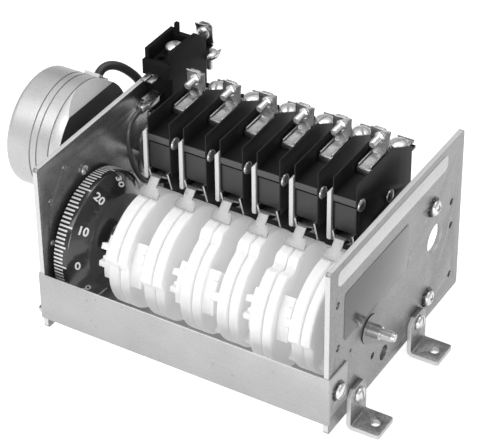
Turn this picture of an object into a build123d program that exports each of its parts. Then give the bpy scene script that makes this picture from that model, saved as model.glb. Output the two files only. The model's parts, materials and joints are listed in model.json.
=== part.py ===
from build123d import *
import math
import os

# Cam timer: a gear motor turns a camshaft whose six split cams work six snap switches.
# +X runs along the camshaft towards the labelled end plate, +Y to the back and +Z up.
# Lengths are in mm. Values of y are counted from midway along the end plates, and save()
# shifts each piece so that the origin is the centre of the four foot holes, on the surface
# that the feet stand on. Angles about the camshaft are counted from the front (-Y) upwards.

os.makedirs("parts", exist_ok=True)

# Frame
frame_width = 150.3  # outside to outside of the end plates
frame_depth = 126.3
plate_thick = 2.4
plate_base = 8.5  # lower edge of the end plates above the feet's underside
plate_top = 95.7
left_plate_rise = 1.3  # the motor's end plate stands a little higher
plate_corner_r = 1.5
fit = 0.05  # radial clearance of a running shaft, pin or plunger
screw_fit = 0.1  # radial clearance of a screw in its hole
end_x = frame_width / 2
inner_x = end_x - plate_thick

# Camshaft, cams and dial
shaft_y = -26.4
shaft_z = 42.0
shaft_r = 3.175
shaft_stub = 6.0  # full diameter that stands out of the right end plate
thread_r = 2.4
thread_long = 6.8
shaft_tail = 8.8  # past the left end plate, under the drive gear
cross_hole_r = 0.8
cross_hole_back = 2.4  # from the shoulder of the thread
cam_count = 6
cam_pitch = 19.05
cam_1_x = -39.6
cam_high_r = 29.5
cam_low_r = 26.1
cam_ramp = 7.0  # degrees from the low to the high dwell
cam_edge_r = 1.0
left_disc = (-5.3, 0.2)  # both faces, from the cam's centre
right_disc = (1.0, 5.6)
cam_hub_r = 8.0
disc_boss_r = 12.0
disc_gap = 0.3
sector_r = (17.0, 24.5)
left_sector_reach = 8.4
left_tooth_reach = 11.4
left_bump_reach = 9.6
left_sector = (-5.0, 44.0)
left_teeth = ((27.0, 33.5), (7.0, 13.0))
left_bump = (17.0, 20.0)
right_blocks = ((35.8, 46.0, 11.1), (24.4, 35.0, 11.1), (14.8, 23.6, 13.4), (-5.0, 14.0, 11.1))
right_sector = (-5.0, 46.0)
right_sector_reach = 9.4
sector_turns = (0, -100, 0, -78, 0, -78)  # how far round each cam's sectors are set
cam_lobes = (
    ((22, 215),),
    ((14, 200),),
    ((78, 146),),
    ((79, 140),),
    ((-75, 60), (80, 132)),
    ((8, 190),),
)
bush_r = 5.0
bush_flange_r = 7.0
bush_flange = 0.8
dial_back = 1.35  # from the left end plate to the dial
dial_r = 31.45
dial_rim_long = 7.5
dial_face_r = 22.6
dial_cone_long = 6.9
dial_cup_r = 26.0
dial_cup_deep = 3.5
dial_hub_r = 9.0

# Gear motor, outside the left end plate
motor_y = -3.2
motor_z = 74.6
motor_r = 28.9
motor_gap = 9.35  # from the end plate to the gear case
case_long = 5.5
band_long = 7.0
ring_long = 3.7
can_long = 14.2
can_edge_r = 3.0
groove_wide = 0.8
groove_deep = 0.7
case_flat = 22.6  # height of the flat's lower edge above the motor's axis
gear_module = 0.6
gear_teeth = 80
pinion_teeth = 20
gear_backlash = 0.08
pressure_angle = 20.0
gear_thick = 4.0
gear_from_plate = 2.85
gear_hub_r = 7.0
gear_hub_long = 1.6
pinion_r = 2.0
pinion_deep = 4.5
pinion_room = 0.5
pinion_wider = 0.6
post_r = 3.0
post_circle_r = 25.1
post_angles = (175, 25, 295)
post_hole_deep = 5.0

# Sheet parts
rail_low = 14.5
rail_high = 39.56
rail_thick = 0.9
rail_tab_long = 16.3
rail_tab_rise = 4.3
rail_bend_r = 1.2
pan_thick = 0.8
pan_low = 8.6
pan_front_in = 8.15  # from the end plates' front edges
pan_back_in = 3.15
pan_flange_top = 27.0
bracket_thick = 2.2
bracket_width = 14.7
bracket_height = 20.6
bracket_reach = 16.15
bracket_front_y = -39.1
bracket_rear_y = 19.1
bracket_bend_r = 3.0
bracket_corner = 3.2
foot_corner_r = 1.2
bracket_screw_z = 15.2
foot_hole_r = 2.2
foot_hole_out = 10.9
label_thick = 0.15
label_corner_r = 3.0
label_front_in = 6.95  # the light label strip, from the end plate's front edge
label_strip_long = 103.0
label_strip_z = (84.0, 92.0)
panel_box = (-50.2, 9.9, 51.0, 77.0)  # y and z of the dark label panel

# Screws
screw_r = 2.0
head_r = 3.7
head_high = 2.4
small_screw_r = 1.5
small_head_r = 2.8
small_head_high = 1.5
slot_wide = 0.9
slot_deep = 1.0
lock_r = 4.6
lock_thick = 0.7
lock_teeth = 12
rail_screw_in = 6.85  # from the end plates' front edges
rail_screw_z = 29.4
plate_screw = (33.7, 70.4)
pan_screw = (30.75, 21.1)
block_screws = ((39.0, 88.0), (50.0, 88.0))
block_screw_deep = 7.0
cable_hole = (22.0, 52.0)
cable_hole_r = 4.2

# Switches, sizes in X counted from each cam's centre
lever_centre = 0.25
body_x = (-5.2, 5.8)
body_front = -15.0
body_low = 80.6
body_high = 99.0
body_step_y = 22.0
body_step_z = 95.2
body_back = 41.0
body_heel = 5.0
body_corner_r = 2.0
bead_low = 95.3
bead_out = 0.8
bead_groove = 0.9
rivets = ((-10.9, 94.9), (15.0, 83.6))  # y and z
rivet_r = 1.6
rivet_head_r = 3.5
rivet_head_high = 1.1
sheet_thick = 0.5
sheet_front = -15.6
sheet_low = 77.9
sheet_high = 107.5
sheet_flat_y = 17.5
sheet_back = 36.5
sheet_back_z = 97.3
sheet_cut = (0.9, 4.6)
spacer_x = (-8.4, -6.4)
spacer_low = 74.0
spacer_high = 100.5
spacer_back = 20.0
spacer_end_r = 0.9
spacer_chamfer = 1.7
spacer_step_y = 10.0
spacer_rear_low = 78.5
deck_low = 63.0
deck_thick = 1.2
deck_front = -2.0
deck_back = 38.0
deck_end_front = 14.0
deck_flange_top = 78.0
deck_flange_front = 26.0
deck_margin = 2.0
cheek_thick = 0.9
cheek_inside = 4.45
cheek_nose = (-17.0, -13.8, 70.2)
cheek_toe = (-6.0, 66.0)
cheek_back = 30.0
pivot_y = 16.0
pivot_z = 74.0
pivot_r = 1.5
knuckle_r = 2.6
lever_thick = 0.8
lever_gap = 0.3  # between the tab and a high dwell
lever_arm = 8.0
tab_wide = 10.3
tab_long = 5.1
tab_shoulder = 1.6
neck_wide = 4.9
neck_top = (-19.4, 78.9)
neck_bend_y = -17.6
arm_front = -13.5
arm_z = 76.0
plunger_y = -6.0
plunger_r = 1.5
plunger_top = 88.0
plunger_bore_top = 91.0
plunger_seat = 0.25
plunger_tip_r = 0.6

# Switch terminals
strip_x = (-4.4, 2.3)
strip_z = 101.2
strip_thick = 0.8
strip_front = 3.8
strip_wall_high = 1.4
boss_x = (-3.4, 1.4)
boss_y = (6.0, 15.0)
lug_x = (-5.0, 3.6)
lug_y = 17.5
lug_top = 116.0
lug_corner = 2.0
lug_screw_x = -0.3
lug_screw_z = 111.4
lug_screw_out = 5.5
lug_screw_behind = 3.0
terminal_r = 1.7
terminal_head_r = 4.0
terminal_head_high = 2.7
lug_head_r = 3.3
lug_head_high = 2.3
washer_side = 8.3
washer_thick = 0.8
barb_high = 1.0
rear_screw_y = 35.5
rear_screw_deep = 6.5
rear_lug_wide = 8.4
rear_lug_front = 28.0
rear_lug_back = 43.0
rear_lug_rise = 4.0
rear_turns = (4, -7, 6, -3, 8, -6)  # degrees that each rear washer is turned

# Terminal block, against the inside of the left end plate
block_right = -58.0
block_front = 25.0
block_back = 55.6
block_low = 81.0
block_floor = 107.3
block_wall = 2.2
block_wall_top = 114.3
block_wall_back = 47.8
block_ledge_out = 2.5
block_ledge = (101.5, 109.3)
block_post = (-69.6, 2.0, 118.0)  # x, width and top
block_cross_top = 112.3
block_ear_back = 66.0
block_ear = (98.0, 101.0)
block_boss_r = 4.0
block_screw = (-64.4, 37.8, 110.0)
block_hole = (-67.0, 30.6, 1.7, 4.0)
rear_lug_x = (-66.2, -58.0)
rear_lug_y = 61.0
rear_lug_top = 112.6
rear_lug_screw_z = 107.2
spade_x = -65.8
spade_wide = 6.5
spade_slot = 1.0
spade_long = 10.0
spade_thick = 0.8
spade_heights = (102.8, 92.1)
spade_root = 1.6
sleeve_x = (-65.9, -61.9)
sleeve_y = (11.0, 20.0)
sleeve_z = (91.0, 94.0)
sleeve_barrel = (-63.9, 92.5, 1.9, 6.5)  # x, z, radius and front end

# Cords
cable_r = 2.2
wire_r = 1.3
end_run = 0.9  # share of a cord's first or last run that its arc may use
shared_run = 0.45  # the same for a run between two arcs
bend_most = 9.0  # no arc of a cord is larger
relief_angle = 49.0
relief_x = -96.0
relief_long = 6.5
relief_wide = 7.0
relief_high = 1.8
relief_sink = 1.5
relief_socket = 0.9  # how deep the cable's end sits in the strain relief
relief_offset = (1.8, 0.6)
grommet_lip = 1.2
grommet_r = 5.6
cable_corners = ((-90.0, 23.66, 106.6), (-81.5, 39.2, 79.4), (-86.0, 22.0, 52.0))
front_wire = (
    (-63.9, 6.5, 92.5), (-63.9, -4.6, 92.5), (-63.5, -4.3, 71.0), (-63.6, 8.0, 49.0),
    (-63.6, 20.65, 52.0),
)
rear_wire = (
    (-60.6, 25.0, 86.8), (-60.6, 1.0, 86.8), (-60.6, 1.2, 71.0), (-60.6, 10.0, 50.5),
    (-60.6, 23.35, 52.0),
)


def save(builder, name, *resting):
    """Label a finished piece, with any that rest on it as solids of their own, and write it."""
    shift = Location((0, -foot_centre_y, 0))
    piece = builder.part.moved(shift)
    if resting:
        solids = [solid for other in (builder, *resting) for solid in other.part.solids()]
        piece = Compound([solid.moved(shift) for solid in solids])
    piece.label = name
    export_step(piece, f"parts/{name}.step")


def across(x):
    """A plane across the camshaft at x: its own X runs to the front, and it faces -X."""
    return Plane(origin=(x, shaft_y, shaft_z), x_dir=(0, -1, 0), z_dir=(-1, 0, 0))


def polar(radius, degrees):
    """The point at a radius and an angle."""
    return (radius * math.cos(math.radians(degrees)), radius * math.sin(math.radians(degrees)))


def block(x, y, z, mode=Mode.ADD):
    """A box between three pairs of values."""
    middle = [(low + high) / 2 for low, high in (x, y, z)]
    with Locations(tuple(middle)):
        Box(x[1] - x[0], y[1] - y[0], z[1] - z[0], mode=mode)


def rod(x, y, z, radius, mode=Mode.ADD):
    """A round bar along X between a pair of x values."""
    with BuildSketch(Plane.YZ.offset(x[0])) as profile:
        with Locations((y, z)):
            Circle(radius)
    extrude(profile.sketch, amount=x[1] - x[0], mode=mode)


def upright(x, y, z, radius, mode=Mode.ADD):
    """A round bar along Z between a pair of z values."""
    with BuildSketch(Plane.XY.offset(z[0])) as profile:
        with Locations((x, y)):
            Circle(radius)
    extrude(profile.sketch, amount=z[1] - z[0], mode=mode)


def side_outline(x, points, mode=Mode.ADD):
    """A plate across X, between a pair of x values, with an outline of y and z points."""
    with BuildSketch(Plane.YZ.offset(x[0])) as profile:
        with BuildLine():
            Polyline(*points, close=True)
        make_face()
    extrude(profile.sketch, amount=x[1] - x[0], mode=mode)


def ring_sector(x, radii, angles):
    """A sector about the camshaft between a pair of x values."""
    inner, outer = radii
    start, end = angles
    middle = (start + end) / 2
    with BuildSketch(across(x[1])) as profile:
        with BuildLine():
            ThreePointArc(polar(outer, start), polar(outer, middle), polar(outer, end))
            Line(polar(outer, end), polar(inner, end))
            ThreePointArc(polar(inner, end), polar(inner, middle), polar(inner, start))
            Line(polar(inner, start), polar(outer, start))
        make_face()
    extrude(profile.sketch, amount=x[1] - x[0])


def cam_disc(x, lobes):
    """One disc of a cam: high dwells over the lobes, low dwells between them."""
    with BuildSketch(across(x[1])) as profile:
        with BuildLine():
            for index, (start, end) in enumerate(lobes):
                following = lobes[(index + 1) % len(lobes)][0]
                if following <= start:
                    following += 360
                low_start = end + cam_ramp
                low_end = following - cam_ramp
                ThreePointArc(
                    polar(cam_high_r, start),
                    polar(cam_high_r, (start + end) / 2),
                    polar(cam_high_r, end),
                )
                Line(polar(cam_high_r, end), polar(cam_low_r, low_start))
                ThreePointArc(
                    polar(cam_low_r, low_start),
                    polar(cam_low_r, (low_start + low_end) / 2),
                    polar(cam_low_r, low_end),
                )
                Line(polar(cam_low_r, low_end), polar(cam_high_r, following))
        make_face()
    extrude(profile.sketch, amount=x[1] - x[0])


def gear_outline(teeth, turn):
    """An involute spur gear's outline, one tooth centred at the angle turn."""
    pitch_r = gear_module * teeth / 2
    pressure = math.radians(pressure_angle)
    base_r = pitch_r * math.cos(pressure)
    tip_r = pitch_r + gear_module
    root_r = pitch_r - 1.25 * gear_module
    half_tooth = math.pi / (2 * teeth) - gear_backlash / (4 * pitch_r)
    half_tooth += math.tan(pressure) - pressure
    start_r = max(base_r, root_r)
    steps = 4
    flank = []
    for step in range(steps + 1):
        radius = start_r + (tip_r - start_r) * step / steps
        roll = math.acos(min(1, base_r / radius))
        flank.append((radius, half_tooth - math.tan(roll) + roll))
    if root_r < base_r:
        flank.insert(0, (root_r, flank[0][1]))
    tooth = [(radius, -angle) for radius, angle in flank]
    tooth += [(radius, angle) for radius, angle in reversed(flank)]
    points = []
    for index in range(teeth):
        middle = turn + 360 * index / teeth
        points += [polar(radius, middle + math.degrees(angle)) for radius, angle in tooth]
    return points


def slotted_head(x, y, z, radius, high, outward, angle):
    """A screw's head on a face across X: outward is 1 towards +X and -1 towards -X."""
    plane = Plane(origin=(x, y, z), x_dir=(0, 1, 0), z_dir=(outward, 0, 0))
    with BuildSketch(plane) as disc:
        Circle(radius)
    extrude(disc.sketch, amount=high)
    with BuildSketch(plane.offset(high)) as slot:
        Rectangle(slot_wide, 2 * radius + 1, rotation=angle)
    extrude(slot.sketch, amount=-slot_deep, mode=Mode.SUBTRACT)


def tangent_radii(points):
    """The radius of each arc of a cord, as large as the runs beside it allow."""
    radii = []
    last = len(points) - 2
    for index in range(1, last + 1):
        first = Vector(*points[index]) - Vector(*points[index - 1])
        second = Vector(*points[index + 1]) - Vector(*points[index])
        room_before = first.length * (end_run if index == 1 else shared_run)
        room_after = second.length * (end_run if index == last else shared_run)
        turn = math.radians(first.get_angle(second))
        radii.append(min(bend_most, min(room_before, room_after) / math.tan(turn / 2)))
    return radii


def cord(points, radius, name):
    """A cord's tube along straight runs joined by tangent arcs."""
    radii = tangent_radii(points)
    print(name, "arc radii", [round(value, 1) for value in radii])
    with BuildLine() as route:
        FilletPolyline(*points, radius=radii)
    with BuildSketch(Plane(origin=route.line @ 0, z_dir=route.line % 0)) as section:
        Circle(radius)
    sweep(section.sketch, path=route.line)


# Places that several pieces share
cam_xs = [cam_1_x + cam_pitch * index for index in range(cam_count)]
left_plate_top = plate_top + left_plate_rise
rail_front = frame_depth / 2 + rail_thick
case_face = -end_x - motor_gap
case_back = case_face - case_long
shoulder_x = end_x + shaft_stub
gear_x = (-end_x - gear_from_plate - gear_thick, -end_x - gear_from_plate)
centre_distance = gear_module * (gear_teeth + pinion_teeth) / 2
mesh_angle = math.degrees(math.atan2(motor_z - shaft_z, motor_y - shaft_y))
pinion_y = shaft_y + polar(centre_distance, mesh_angle)[0]
pinion_z = shaft_z + polar(centre_distance, mesh_angle)[1]
post_places = []
for post_angle in post_angles:
    post_off = polar(post_circle_r, post_angle)
    post_places.append((motor_y + post_off[0], motor_z + post_off[1]))
plate_front = -frame_depth / 2
pan_front = plate_front + pan_front_in
pan_back = frame_depth / 2 - pan_back_in
rail_screw = (plate_front + rail_screw_in, rail_screw_z)
label_front = plate_front + label_front_in
strip_box = (label_front, label_front + label_strip_long, *label_strip_z)
bracket_ys = (bracket_front_y, bracket_rear_y)
foot_centre_y = sum(bracket_ys) / 2
tab_bottom_z = shaft_z + cam_high_r + lever_gap
cheek_offsets = [
    (lever_centre - cheek_inside - cheek_thick, lever_centre - cheek_inside),
    (lever_centre + cheek_inside, lever_centre + cheek_inside + cheek_thick),
]
sheet_offsets = [(body_x[0] - sheet_thick, body_x[0]), (body_x[1], body_x[1] + sheet_thick)]
pivot_ends = (cam_xs[0] + cheek_offsets[0][0] - 1, cam_xs[-1] + cheek_offsets[1][1] + 1)
side_holes = [rail_screw, plate_screw, pan_screw] + [(y, bracket_screw_z) for y in bracket_ys]

# End plates
left_extra = [(-43.2, 86.7, 1.5), (-54.9, 75.4, 1.5), (-55.6, 52.7, 1.5)]
with BuildPart() as left_end_plate:
    with BuildSketch(Plane.YZ.offset(-end_x)):
        with Locations((0, (plate_base + left_plate_top) / 2)):
            RectangleRounded(frame_depth, left_plate_top - plate_base, plate_corner_r)
        with Locations((shaft_y, shaft_z)):
            Circle(bush_r, mode=Mode.SUBTRACT)
        with Locations(cable_hole):
            Circle(cable_hole_r, mode=Mode.SUBTRACT)
        with Locations(*side_holes, *block_screws):
            Circle(screw_r + screw_fit, mode=Mode.SUBTRACT)
        with Locations(*post_places):
            Circle(small_screw_r + screw_fit, mode=Mode.SUBTRACT)
        for hole_y, hole_z, hole_r in left_extra:
            with Locations((hole_y, hole_z)):
                Circle(hole_r, mode=Mode.SUBTRACT)
    extrude(amount=plate_thick)
save(left_end_plate, "left_end_plate")

right_extra = [
    (36.7, 51.1, 7.45), (53.0, 61.6, 1.7), (53.3, 48.2, 1.7), (54.5, 18.9, 1.7), (-55.9, 74.9, 1.7),
    (-55.2, 51.4, 1.7), (-43.6, 42.1, 0.9), (-22.5, 24.1, 1.7), (-11.7, 18.3, 3.7),
]
with BuildPart() as right_end_plate:
    with BuildSketch(Plane.YZ.offset(inner_x)):
        with Locations((0, (plate_base + plate_top) / 2)):
            RectangleRounded(frame_depth, plate_top - plate_base, plate_corner_r)
        with Locations((shaft_y, shaft_z)):
            Circle(bush_r, mode=Mode.SUBTRACT)
        with Locations(*side_holes):
            Circle(screw_r + screw_fit, mode=Mode.SUBTRACT)
        for hole_y, hole_z, hole_r in right_extra:
            with Locations((hole_y, hole_z)):
                Circle(hole_r, mode=Mode.SUBTRACT)
    extrude(amount=plate_thick)
save(right_end_plate, "right_end_plate")

# Front rail, folded round both end plates
with BuildPart() as front_rail:
    with BuildSketch(Plane.XY.offset(rail_low)):
        with BuildLine():
            tab_end = -rail_front + rail_tab_long
            FilletPolyline(
                (-end_x - rail_thick, tab_end),
                (-end_x - rail_thick, -rail_front),
                (end_x + rail_thick, -rail_front),
                (end_x + rail_thick, tab_end),
                radius=rail_bend_r,
            )
            Polyline(
                (end_x + rail_thick, tab_end),
                (end_x, tab_end),
                (end_x, -frame_depth / 2),
                (-end_x, -frame_depth / 2),
                (-end_x, tab_end),
                (-end_x - rail_thick, tab_end),
            )
        make_face()
    extrude(amount=rail_high - rail_low)
    tab_y = (-frame_depth / 2, tab_end + 1)
    for side in (-1, 1):
        tab_x = sorted((side * end_x, side * (end_x + rail_thick + 1)))
        block(tab_x, tab_y, (rail_low - 1, rail_low + rail_tab_rise), mode=Mode.SUBTRACT)
        rod(tab_x, *rail_screw, screw_r + screw_fit, mode=Mode.SUBTRACT)
save(front_rail, "front_rail")

# Base pan, with its end flanges inside the end plates
with BuildPart() as base_pan:
    block((-inner_x, inner_x), (pan_front, pan_back), (pan_low, pan_low + pan_thick))
    for side in (-1, 1):
        flange_x = sorted((side * inner_x, side * (inner_x - pan_thick)))
        block(flange_x, (pan_front, pan_back), (pan_low, pan_flange_top))
        for hole_y, hole_z in [pan_screw] + [(y, bracket_screw_z) for y in bracket_ys]:
            rod(flange_x, hole_y, hole_z, screw_r + screw_fit, mode=Mode.SUBTRACT)
        for hole_y, hole_z, hole_r in right_extra[-2:]:
            rod(flange_x, hole_y, hole_z, hole_r, mode=Mode.SUBTRACT)
save(base_pan, "base_pan")

# Foot brackets, one outline mirrored to the other end
with BuildPart() as foot_brackets:
    for side in (-1, 1):
        for bracket_y in bracket_ys:
            plane = Plane(
                origin=(side * end_x, bracket_y + side * bracket_width / 2, 0),
                x_dir=(side, 0, 0),
                z_dir=(0, -side, 0),
            )
            with BuildSketch(plane):
                with BuildLine():
                    inside = bracket_bend_r - bracket_thick
                    FilletPolyline((0, bracket_height), (0, 0), (bracket_reach, 0), radius=bracket_bend_r)
                    Line((bracket_reach, 0), (bracket_reach, bracket_thick))
                    FilletPolyline(
                        (bracket_reach, bracket_thick),
                        (bracket_thick, bracket_thick),
                        (bracket_thick, bracket_height),
                        radius=inside,
                    )
                    Line((bracket_thick, bracket_height), (0, bracket_height))
                make_face()
            extrude(amount=bracket_width)
    tops = foot_brackets.edges().filter_by(Axis.X).group_by(Axis.Z)[-1]
    chamfer(tops, length=bracket_corner)
    corner_x = end_x + foot_hole_out
    uprights = foot_brackets.edges().filter_by(Axis.Z)
    fillet(uprights.filter_by(lambda edge: abs(edge.center().X) > corner_x), radius=foot_corner_r)
    for side in (-1, 1):
        leg_x = sorted((side * end_x, side * (end_x + bracket_thick)))
        for bracket_y in bracket_ys:
            rod(leg_x, bracket_y, bracket_screw_z, screw_r + screw_fit, mode=Mode.SUBTRACT)
            foot_x = side * (end_x + foot_hole_out)
            upright(foot_x, bracket_y, (0, bracket_thick), foot_hole_r, mode=Mode.SUBTRACT)
save(foot_brackets, "foot_brackets")

# Bushings and bare label plates
for side, bush_name in ((-1, "left_bushing"), (1, "right_bushing")):
    if side < 0:
        flange_x = (-inner_x, -inner_x + bush_flange)
    else:
        flange_x = (end_x, end_x + bush_flange)
    with BuildPart() as bushing:
        rod(sorted((side * inner_x, side * end_x)), shaft_y, shaft_z, bush_r)
        rod(flange_x, shaft_y, shaft_z, bush_flange_r)
        rod((-end_x - 2, end_x + 2), shaft_y, shaft_z, shaft_r + fit, mode=Mode.SUBTRACT)
    save(bushing, bush_name)

with BuildPart() as label_plates:
    for low_y, high_y, low_z, high_z in (strip_box, panel_box):
        with BuildSketch(Plane.YZ.offset(end_x)):
            with Locations(((low_y + high_y) / 2, (low_z + high_z) / 2)):
                RectangleRounded(high_y - low_y, high_z - low_z, label_corner_r)
        extrude(amount=label_thick)
save(label_plates, "label_plates")

# Camshaft, dial and drive gear
with BuildPart() as camshaft:
    rod((-end_x - shaft_tail, shoulder_x), shaft_y, shaft_z, shaft_r)
    rod((shoulder_x, shoulder_x + thread_long), shaft_y, shaft_z, thread_r)
    chamfer(camshaft.edges().filter_by(GeomType.CIRCLE).sort_by(Axis.X)[-1], length=0.5)
    with Locations(Location((shoulder_x - cross_hole_back, shaft_y, shaft_z), (45, 0, 0))):
        Cylinder(cross_hole_r, 3 * shaft_r, mode=Mode.SUBTRACT)
save(camshaft, "camshaft")

dial_x = -inner_x + dial_back
dial_front = dial_x + dial_rim_long + dial_cone_long
dial_hub_end = cam_xs[0] - cam_pitch / 2 - disc_gap / 2
with BuildPart() as dial:
    with BuildSketch(Plane(origin=(0, shaft_y, shaft_z), x_dir=(1, 0, 0), z_dir=(0, -1, 0))):
        with BuildLine():
            Polyline(
                (dial_x + dial_cup_deep, shaft_r),
                (dial_hub_end, shaft_r),
                (dial_hub_end, dial_hub_r),
                (dial_front, dial_hub_r),
                (dial_front, dial_face_r),
                (dial_x + dial_rim_long, dial_r),
                (dial_x, dial_r),
                (dial_x, dial_cup_r),
                (dial_x + dial_cup_deep, dial_cup_r),
                close=True,
            )
        make_face()
    revolve(axis=Axis((0, shaft_y, shaft_z), (1, 0, 0)))
save(dial, "dial")

with BuildPart() as drive_gear:
    with BuildSketch(Plane(origin=(gear_x[0], shaft_y, shaft_z), x_dir=(0, 1, 0), z_dir=(1, 0, 0))):
        with BuildLine():
            Polyline(*gear_outline(gear_teeth, mesh_angle), close=True)
        make_face()
    extrude(amount=gear_thick)
    rod((gear_x[1], gear_x[1] + gear_hub_long), shaft_y, shaft_z, gear_hub_r)
    rod((gear_x[0], gear_x[1] + gear_hub_long), shaft_y, shaft_z, shaft_r, mode=Mode.SUBTRACT)
save(drive_gear, "drive_gear")

# Split cams
for index, cam_x in enumerate(cam_xs):
    turn = sector_turns[index]
    hub_end = cam_pitch / 2 - disc_gap / 2
    with BuildPart() as left_half:
        cam_disc([cam_x + value for value in left_disc], cam_lobes[index])
        fillet(left_half.edges().filter_by(GeomType.LINE, reverse=True), radius=cam_edge_r)
        rod((cam_x - hub_end, cam_x + left_disc[0]), shaft_y, shaft_z, cam_hub_r)
        root_x = (cam_x - left_sector_reach, cam_x + left_disc[0])
        ring_sector(root_x, sector_r, [value + turn for value in left_sector])
        for tooth in left_teeth:
            tooth_x = (cam_x - left_tooth_reach, cam_x - left_sector_reach)
            ring_sector(tooth_x, sector_r, [value + turn for value in tooth])
        bump_x = (cam_x - left_bump_reach, cam_x - left_sector_reach)
        ring_sector(bump_x, sector_r, [value + turn for value in left_bump])
        rod((cam_x - hub_end, cam_x + left_disc[1]), shaft_y, shaft_z, shaft_r + fit, mode=Mode.SUBTRACT)
    save(left_half, f"cam_{index + 1}_left")
    with BuildPart() as right_half:
        cam_disc([cam_x + value for value in right_disc], cam_lobes[index])
        fillet(right_half.edges().filter_by(GeomType.LINE, reverse=True), radius=cam_edge_r)
        rod((cam_x + left_disc[1] + disc_gap, cam_x + right_disc[0]), shaft_y, shaft_z, disc_boss_r)
        rod((cam_x + right_disc[1], cam_x + hub_end), shaft_y, shaft_z, cam_hub_r)
        root_x = (cam_x + right_disc[1], cam_x + right_sector_reach)
        ring_sector(root_x, sector_r, [value + turn for value in right_sector])
        for start, end, reach in right_blocks:
            block_x = (cam_x + right_sector_reach, cam_x + reach)
            ring_sector(block_x, sector_r, (start + turn, end + turn))
        bore_x = (cam_x + left_disc[1], cam_x + hub_end)
        rod(bore_x, shaft_y, shaft_z, shaft_r + fit, mode=Mode.SUBTRACT)
    save(right_half, f"cam_{index + 1}_right")

# Gear motor
with BuildPart() as motor_can:
    with BuildSketch(Plane(origin=(0, motor_y, motor_z), x_dir=(1, 0, 0), z_dir=(0, -1, 0))):
        ring_x = case_back - band_long
        can_x = ring_x - ring_long
        can_end = can_x - can_long
        with BuildLine():
            Polyline(
                (case_back, 0),
                (case_back, motor_r - groove_deep),
                (case_back - groove_wide, motor_r - groove_deep),
                (case_back - groove_wide, motor_r),
                (ring_x + groove_wide / 2, motor_r),
                (ring_x + groove_wide / 2, motor_r - groove_deep),
                (ring_x - groove_wide / 2, motor_r - groove_deep),
                (ring_x - groove_wide / 2, motor_r),
                (can_x + groove_wide / 2, motor_r),
                (can_x + groove_wide / 2, motor_r - groove_deep),
                (can_x - groove_wide / 2, motor_r - groove_deep),
                (can_x - groove_wide / 2, motor_r),
                (can_end + can_edge_r, motor_r),
            )
            JernArc((can_end + can_edge_r, motor_r), (-1, 0), can_edge_r, 90)
            Polyline((can_end, motor_r - can_edge_r), (can_end, 0), (case_back, 0))
        make_face()
    revolve(axis=Axis((0, motor_y, motor_z), (1, 0, 0)))
save(motor_can, "motor_can")

with BuildPart() as gear_case:
    rod((case_back, case_face), motor_y, motor_z, motor_r)
    with BuildSketch(Plane.XZ.offset(-motor_y)):
        with BuildLine():
            Polyline(
                (case_face, motor_z + case_flat),
                (case_back, motor_z + motor_r),
                (case_face, motor_z + motor_r),
                close=True,
            )
        make_face()
    extrude(amount=motor_r, both=True, mode=Mode.SUBTRACT)
    pinion_hole = (case_face - pinion_deep - pinion_room, case_face)
    rod(pinion_hole, pinion_y, pinion_z, pinion_r + fit, mode=Mode.SUBTRACT)
save(gear_case, "gear_case")

with BuildPart() as motor_pinion:
    pinion_x = (gear_x[0] - pinion_wider, gear_x[1] + pinion_wider)
    pinion_turn = mesh_angle + 180 + 180 / pinion_teeth
    with BuildSketch(Plane(origin=(pinion_x[0], pinion_y, pinion_z), x_dir=(0, 1, 0), z_dir=(1, 0, 0))):
        with BuildLine():
            Polyline(*gear_outline(pinion_teeth, pinion_turn), close=True)
        make_face()
    extrude(amount=pinion_x[1] - pinion_x[0])
    rod((case_face - pinion_deep, pinion_x[0]), pinion_y, pinion_z, pinion_r)
save(motor_pinion, "motor_pinion")

with BuildPart() as motor_posts:
    for post_y, post_z in post_places:
        with BuildSketch(Plane.YZ.offset(case_face)):
            with Locations((post_y, post_z)):
                RegularPolygon(post_r, 6)
        extrude(amount=motor_gap)
        rod((-end_x - post_hole_deep, -end_x), post_y, post_z, small_screw_r, mode=Mode.SUBTRACT)
save(motor_posts, "motor_posts")

# Switch deck: a folded sheet, and on it a channel whose two cheeks carry each switch
with BuildPart() as switch_deck:
    deck_z = (deck_low, deck_low + deck_thick)
    comb_x = (pivot_ends[0] - deck_margin, pivot_ends[1] + deck_margin)
    block(comb_x, (deck_front, deck_back), deck_z)
    block((-inner_x, inner_x), (deck_end_front, deck_back), deck_z)
    for side in (-1, 1):
        flange_x = sorted((side * inner_x, side * (inner_x - deck_thick)))
        block(flange_x, (deck_flange_front, deck_back), (deck_low, deck_flange_top))
        rod(flange_x, *plate_screw, screw_r + screw_fit, mode=Mode.SUBTRACT)
deck_face_z = deck_low + deck_thick
cheek_points = (
    (cheek_nose[0], body_low),
    (cheek_nose[1], cheek_nose[2]),
    cheek_toe,
    (deck_front, deck_face_z),
    (cheek_back, deck_face_z),
    (cheek_back, body_low),
)
with BuildPart() as switch_channels:
    for cam_x in cam_xs:
        for cheek_x in cheek_offsets:
            side_outline([cam_x + value for value in cheek_x], cheek_points)
        web_x = (cam_x + cheek_offsets[0][0], cam_x + cheek_offsets[1][1])
        block(web_x, (deck_front, cheek_back), (deck_face_z, deck_face_z + cheek_thick))
    rod(pivot_ends, pivot_y, pivot_z, pivot_r + fit, mode=Mode.SUBTRACT)
save(switch_deck, "switch_deck", switch_channels)

with BuildPart() as pivot_rod:
    rod(pivot_ends, pivot_y, pivot_z, pivot_r)
save(pivot_rod, "pivot_rod")

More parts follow.
